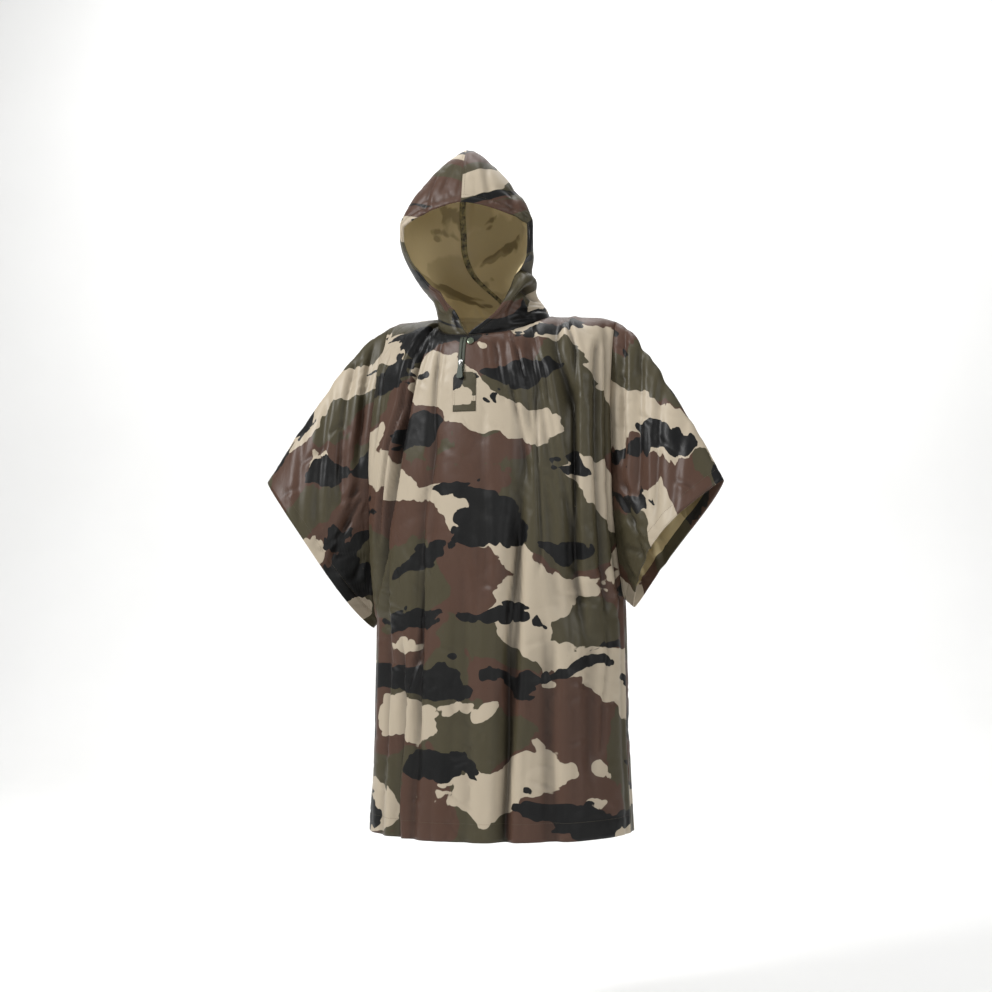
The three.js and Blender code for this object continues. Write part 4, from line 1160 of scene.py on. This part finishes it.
def pathTree():  # small rounded bodies set along a path
    tree = bpy.data.node_groups.new("alongPath", "GeometryNodeTree")
    tree.interface.new_socket("Geometry", in_out="INPUT", socket_type="NodeSocketGeometry")
    for name in ("Spacing", "Along", "Across", "Out"):
        tree.interface.new_socket(name, in_out="INPUT", socket_type="NodeSocketFloat")
    tree.interface.new_socket("Finish", in_out="INPUT", socket_type="NodeSocketMaterial")
    tree.interface.new_socket("Geometry", in_out="OUTPUT", socket_type="NodeSocketGeometry")

    def add(kind, settings=None, **sockets):
        node = tree.nodes.new(kind)
        for key, value in (settings or {}).items():
            setattr(node, key, value)
        for key, value in sockets.items():
            target = node.inputs[key.replace("_", " ")]
            if isinstance(value, bpy.types.NodeSocket):
                tree.links.new(value, target)
            else:
                target.default_value = value
        return node.outputs[0] if node.outputs else None

    given = tree.nodes.new("NodeGroupInput").outputs
    curve = add("GeometryNodeMeshToCurve", Mesh=given["Geometry"])
    length = {"mode": "LENGTH"}
    spaced = add("GeometryNodeResampleCurve", length, Curve=curve, Length=given["Spacing"])
    size = add("ShaderNodeCombineXYZ", X=given["Along"], Y=given["Across"], Z=given["Out"])
    ball = add("GeometryNodeMeshUVSphere", Segments=6, Rings=4, Radius=0.5)
    smoothBall = add("GeometryNodeSetShadeSmooth", Geometry=ball)
    tangent = add("GeometryNodeInputTangent")
    outwards = add(
        "GeometryNodeInputNamedAttribute", {"data_type": "FLOAT_VECTOR"}, Name="outwards"
    )
    align, upwards = "FunctionNodeAlignRotationToVector", {"axis": "Z", "pivot_axis": "X"}
    turned = add(align, {"axis": "X"}, Vector=tangent)
    upright = add(align, upwards, Rotation=turned, Vector=outwards)
    placed = add(
        "GeometryNodeInstanceOnPoints",
        Points=spaced, Instance=smoothBall, Rotation=upright, Scale=size,
    )
    realised = add("GeometryNodeRealizeInstances", Geometry=placed)
    finished = add("GeometryNodeSetMaterial", Geometry=realised, Material=given["Finish"])
    add("NodeGroupOutput", Geometry=finished)
    return tree


alongPath = pathTree()


def alongPaths(name, paths, sizes, finish):
    vertices, edges, outwards = [], [], []
    for points, normals in paths:
        first = len(vertices)
        vertices += ((points + normals * sizes["lift"]) * mm).tolist()
        outwards += normals.tolist()
        edges += [(k, k + 1) for k in range(first, len(vertices) - 1)]
    mesh = bpy.data.meshes.new(name)
    mesh.from_pydata(vertices, edges, [])
    field = mesh.attributes.new("outwards", "FLOAT_VECTOR", "POINT")
    field.data.foreach_set("vector", np.array(outwards).ravel())
    runner = addObject(name, mesh)
    modifier = runner.modifiers.new("along", "NODES")
    modifier.node_group = alongPath
    inputs = {
        item.name: item.identifier for item in alongPath.interface.items_tree
        if item.item_type == "SOCKET" and item.in_out == "INPUT"
    }
    for key in ("Spacing", "Along", "Across", "Out"):
        modifier[inputs[key]] = sizes[key.lower()] * mm
    modifier[inputs["Finish"]] = finish
    evaluated = runner.evaluated_get(bpy.context.evaluated_depsgraph_get())
    runner.data = bpy.data.meshes.new_from_object(evaluated)
    runner.modifiers.clear()
    return runner


print("poncho: stitches and zip teeth")
stitch = {"spacing": 3.6, "along": 2.7, "across": 0.6, "out": 0.5, "lift": 0.08}
tooth = {"spacing": 2.0, "along": 1.1, "across": 2.2, "out": 1.2, "lift": 0.5}
shoulders, inside = body["shoulderColumns"], cloth["stitchIn"]


def stripLine(name, column, start=0, stop=None):
    strip = strips[name]
    return strip["grid"][start:stop, column], strip["normal"][start:stop, column]


def patchOutline():  # line of stitches just inside the patch, flat over its rounded corners
    grid, normal = strips["throatPatch"]["grid"], strips["throatPatch"]["normal"]
    top, foot = 8, len(grid) - patch["sewnIn"]
    left, right = patch["sewnIn"], patch["columns"] - patch["sewnIn"] - 1
    ring = [(i, left) for i in range(foot, top, -1)] + [(top, j) for j in range(left, right + 1)]
    ring += [(i, right) for i in range(top, foot + 1)]
    ring += [(foot, j) for j in range(right, left - 1, -1)]
    places = tuple(np.array(ring).T)
    return grid[places], normal[places]


rows = {
    "neckStitches": pathsOn(bodyNames, "top", inside, shoulders + 1, -shoulders - 1),
    "shoulderStitches": [
        *pathsOn(["backCloth"], "top", inside, 1, shoulders),
        *pathsOn(["backCloth"], "top", inside, -shoulders, -1),
    ],
    "armholeStitches": map(closedPath, pathsOn(sleeveNames, "top", inside)),
    "hemStitches": pathsOn(bodyNames, "bottom", body["hemDepth"], 1, -1),
    "cuffStitches": map(closedPath, pathsOn(sleeveNames, "bottom", sleeve["hem"])),
    "hoodStitches": [
        *pathsOn(hoodNames, "right", inside, 2, -2),
        *pathsOn(hoodNames, "left", hood["channel"], 6, -6),
        *pathsOn(hoodNames, "bottom", hood["channel"], 8, -1),
    ],
    "throatStitches": [patchOutline(), stripLine("zipTapeLeft", 3), stripLine("zipTapeRight", 1)],
}
for name, paths in rows.items():
    made[name] = alongPaths(name, paths, stitch, finishes["thread"])
zipLength, toSlider = zipper["top"] - zipper["foot"], zipper["top"] - zipper["sliderTop"]
teethStop = int(zipper["rows"] * toSlider / zipLength)
coils = [
    stripLine("zipTapeLeft", 0, 1, teethStop),
    stripLine("zipTapeRight", zipper["columns"] - 1, 1, teethStop),
]
made["zipTeeth"] = alongPaths("zipTeeth", coils, tooth, finishes["teeth"])

for name, facts in pieces.items():
    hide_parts(facts["node"])
zipTape = dict(slot="tape_cloth", flat=(0.01, 0.068), area=0.00041, held="laid")
tapes = {
    "hoodTape": dict(node="hood_seam_tape", slot="tape_cloth", flat=(0.012, 0.52), held="hung"),
    "zipTapeLeft": dict(node="zip_tape_left", **zipTape),
    "zipTapeRight": dict(node="zip_tape_right", **zipTape),
    "throatPatch": dict(node="throat_patch", slot="patch_cloth", flat=(0.046, 0.076), held="laid"),
}
for name, facts in tapes.items():
    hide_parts(facts["node"])
    print("poncho:", name, "area", round(surfaceArea(made[name]), 4))
for piece in made.values():
    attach(piece, "poncho")
for name, facts in tapes.items():
    under = hoodNames if name == "hoodTape" else ["frontCloth"]
    facts.get("area")

for name, finish in (("zip_slider", "slider"), ("zip_pull", "pull"), ("throat_stud", "stud")):
    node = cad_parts[name]
    node.data.materials.clear()
    node.data.materials.append(finishes[finish])

studio = {
    "floorZ": -1.4, "wallY": 5.0, "bend": 1.4, "half": 9.0, "nearY": -6.0, "wallHigh": 8,
    "azimuth": math.radians(21), "distance": 3.15, "aside": -0.008, "height": -0.5,
    "pitch": math.atan(150 / 3150), "lens": 58,
    "world": 0.2, "seenWorld": 0.9,
}


def backdrop():  # floor that bends up into a wall
    graph = Graph("palePaper")
    place = graph.objectPlace()
    tone = graph.noise(place, 2.0, 2.0)
    shade = graph.mixed(tone, colour(238, 238, 237), colour(244, 244, 243))
    paper = graph.finish(Base_Color=shade, Roughness=0.85 + tone * 0.05)
    angles = np.linspace(0, math.pi / 2, 24)
    bend, wall, floor = studio["bend"], studio["wallY"], studio["floorZ"]
    line = [(studio["nearY"], floor)]
    line += [(wall - bend + bend * math.sin(a), floor + bend - bend * math.cos(a)) for a in angles]
    line.append((wall, floor + studio["wallHigh"]))
    vertices = [(x, y, z) for y, z in line for x in (-studio["half"], studio["half"])]
    faces = [(2 * k, 2 * k + 1, 2 * k + 3, 2 * k + 2) for k in range(len(line) - 1)]
    mesh = bpy.data.meshes.new("backdrop")
    mesh.from_pydata(vertices, [], faces)
    mesh.materials.append(paper)
    mesh.polygons.foreach_set("use_smooth", [True] * len(faces))
    sweep = addObject("backdrop", mesh)
    sweep.rotation_euler.z = studio["azimuth"]


lights = table(
    "name place aim size energy",
    ("keyLight", (-2.2, -2.5, 1.7), (0, 0, -0.4), (0.9, 1.2), 140),
    ("fillLight", (3.0, -1.5, 0.7), (0, 0, -0.4), (0.7, 1.8), 40),
    ("frontLight", (1.3, -3.6, 0.1), (0, -0.1, 0.0), (0.9, 0.9), 16),
    ("topLight", (0.0, 0.2, 2.8), (0, 0, -0.2), (1.2, 0.8), 50),
    ("wallLight", (-0.6, 2.6, 3.2), (-1.0, 4.4, -0.6), (4.0, 1.6), 150),
)

print("poncho: studio")
backdrop()
for facts in lights:
    data = bpy.data.lights.new(facts["name"], "AREA")
    data.shape = "RECTANGLE"
    data.size, data.size_y = facts["size"]
    data.energy = facts["energy"]
    light = addObject(facts["name"], data)
    light.location = facts["place"]
    towards = Vector(facts["aim"]) - Vector(facts["place"])
    light.rotation_euler = towards.to_track_quat("-Z", "Y").to_euler()

world = bpy.data.worlds.new("paleWorld")
world.use_nodes = True
worldNodes, worldLinks = world.node_tree.nodes, world.node_tree.links
worldNodes["Background"].inputs["Color"].default_value = (1, 1, 1, 1)
seen = worldNodes.new("ShaderNodeMix")  # paler where the camera looks past the paper
rays = worldNodes.new("ShaderNodeLightPath")
worldLinks.new(rays.outputs["Is Camera Ray"], seen.inputs[0])
seen.inputs[2].default_value = studio["world"]
seen.inputs[3].default_value = studio["seenWorld"]
worldLinks.new(seen.outputs[0], worldNodes["Background"].inputs["Strength"])
scene = bpy.context.scene
scene.world = world
scene.view_settings.view_transform = "Standard"

cameraData = bpy.data.cameras.new("photoCamera")
cameraData.lens = studio["lens"]
camera = addObject("photoCamera", cameraData)
turn = studio["azimuth"]
camera.location = (
    math.sin(turn) * studio["distance"] + studio["aside"] * math.cos(turn),
    -math.cos(turn) * studio["distance"] + studio["aside"] * math.sin(turn),
    studio["height"],
)
camera.rotation_euler = (math.pi / 2 + studio["pitch"], 0, turn)
scene.camera = camera
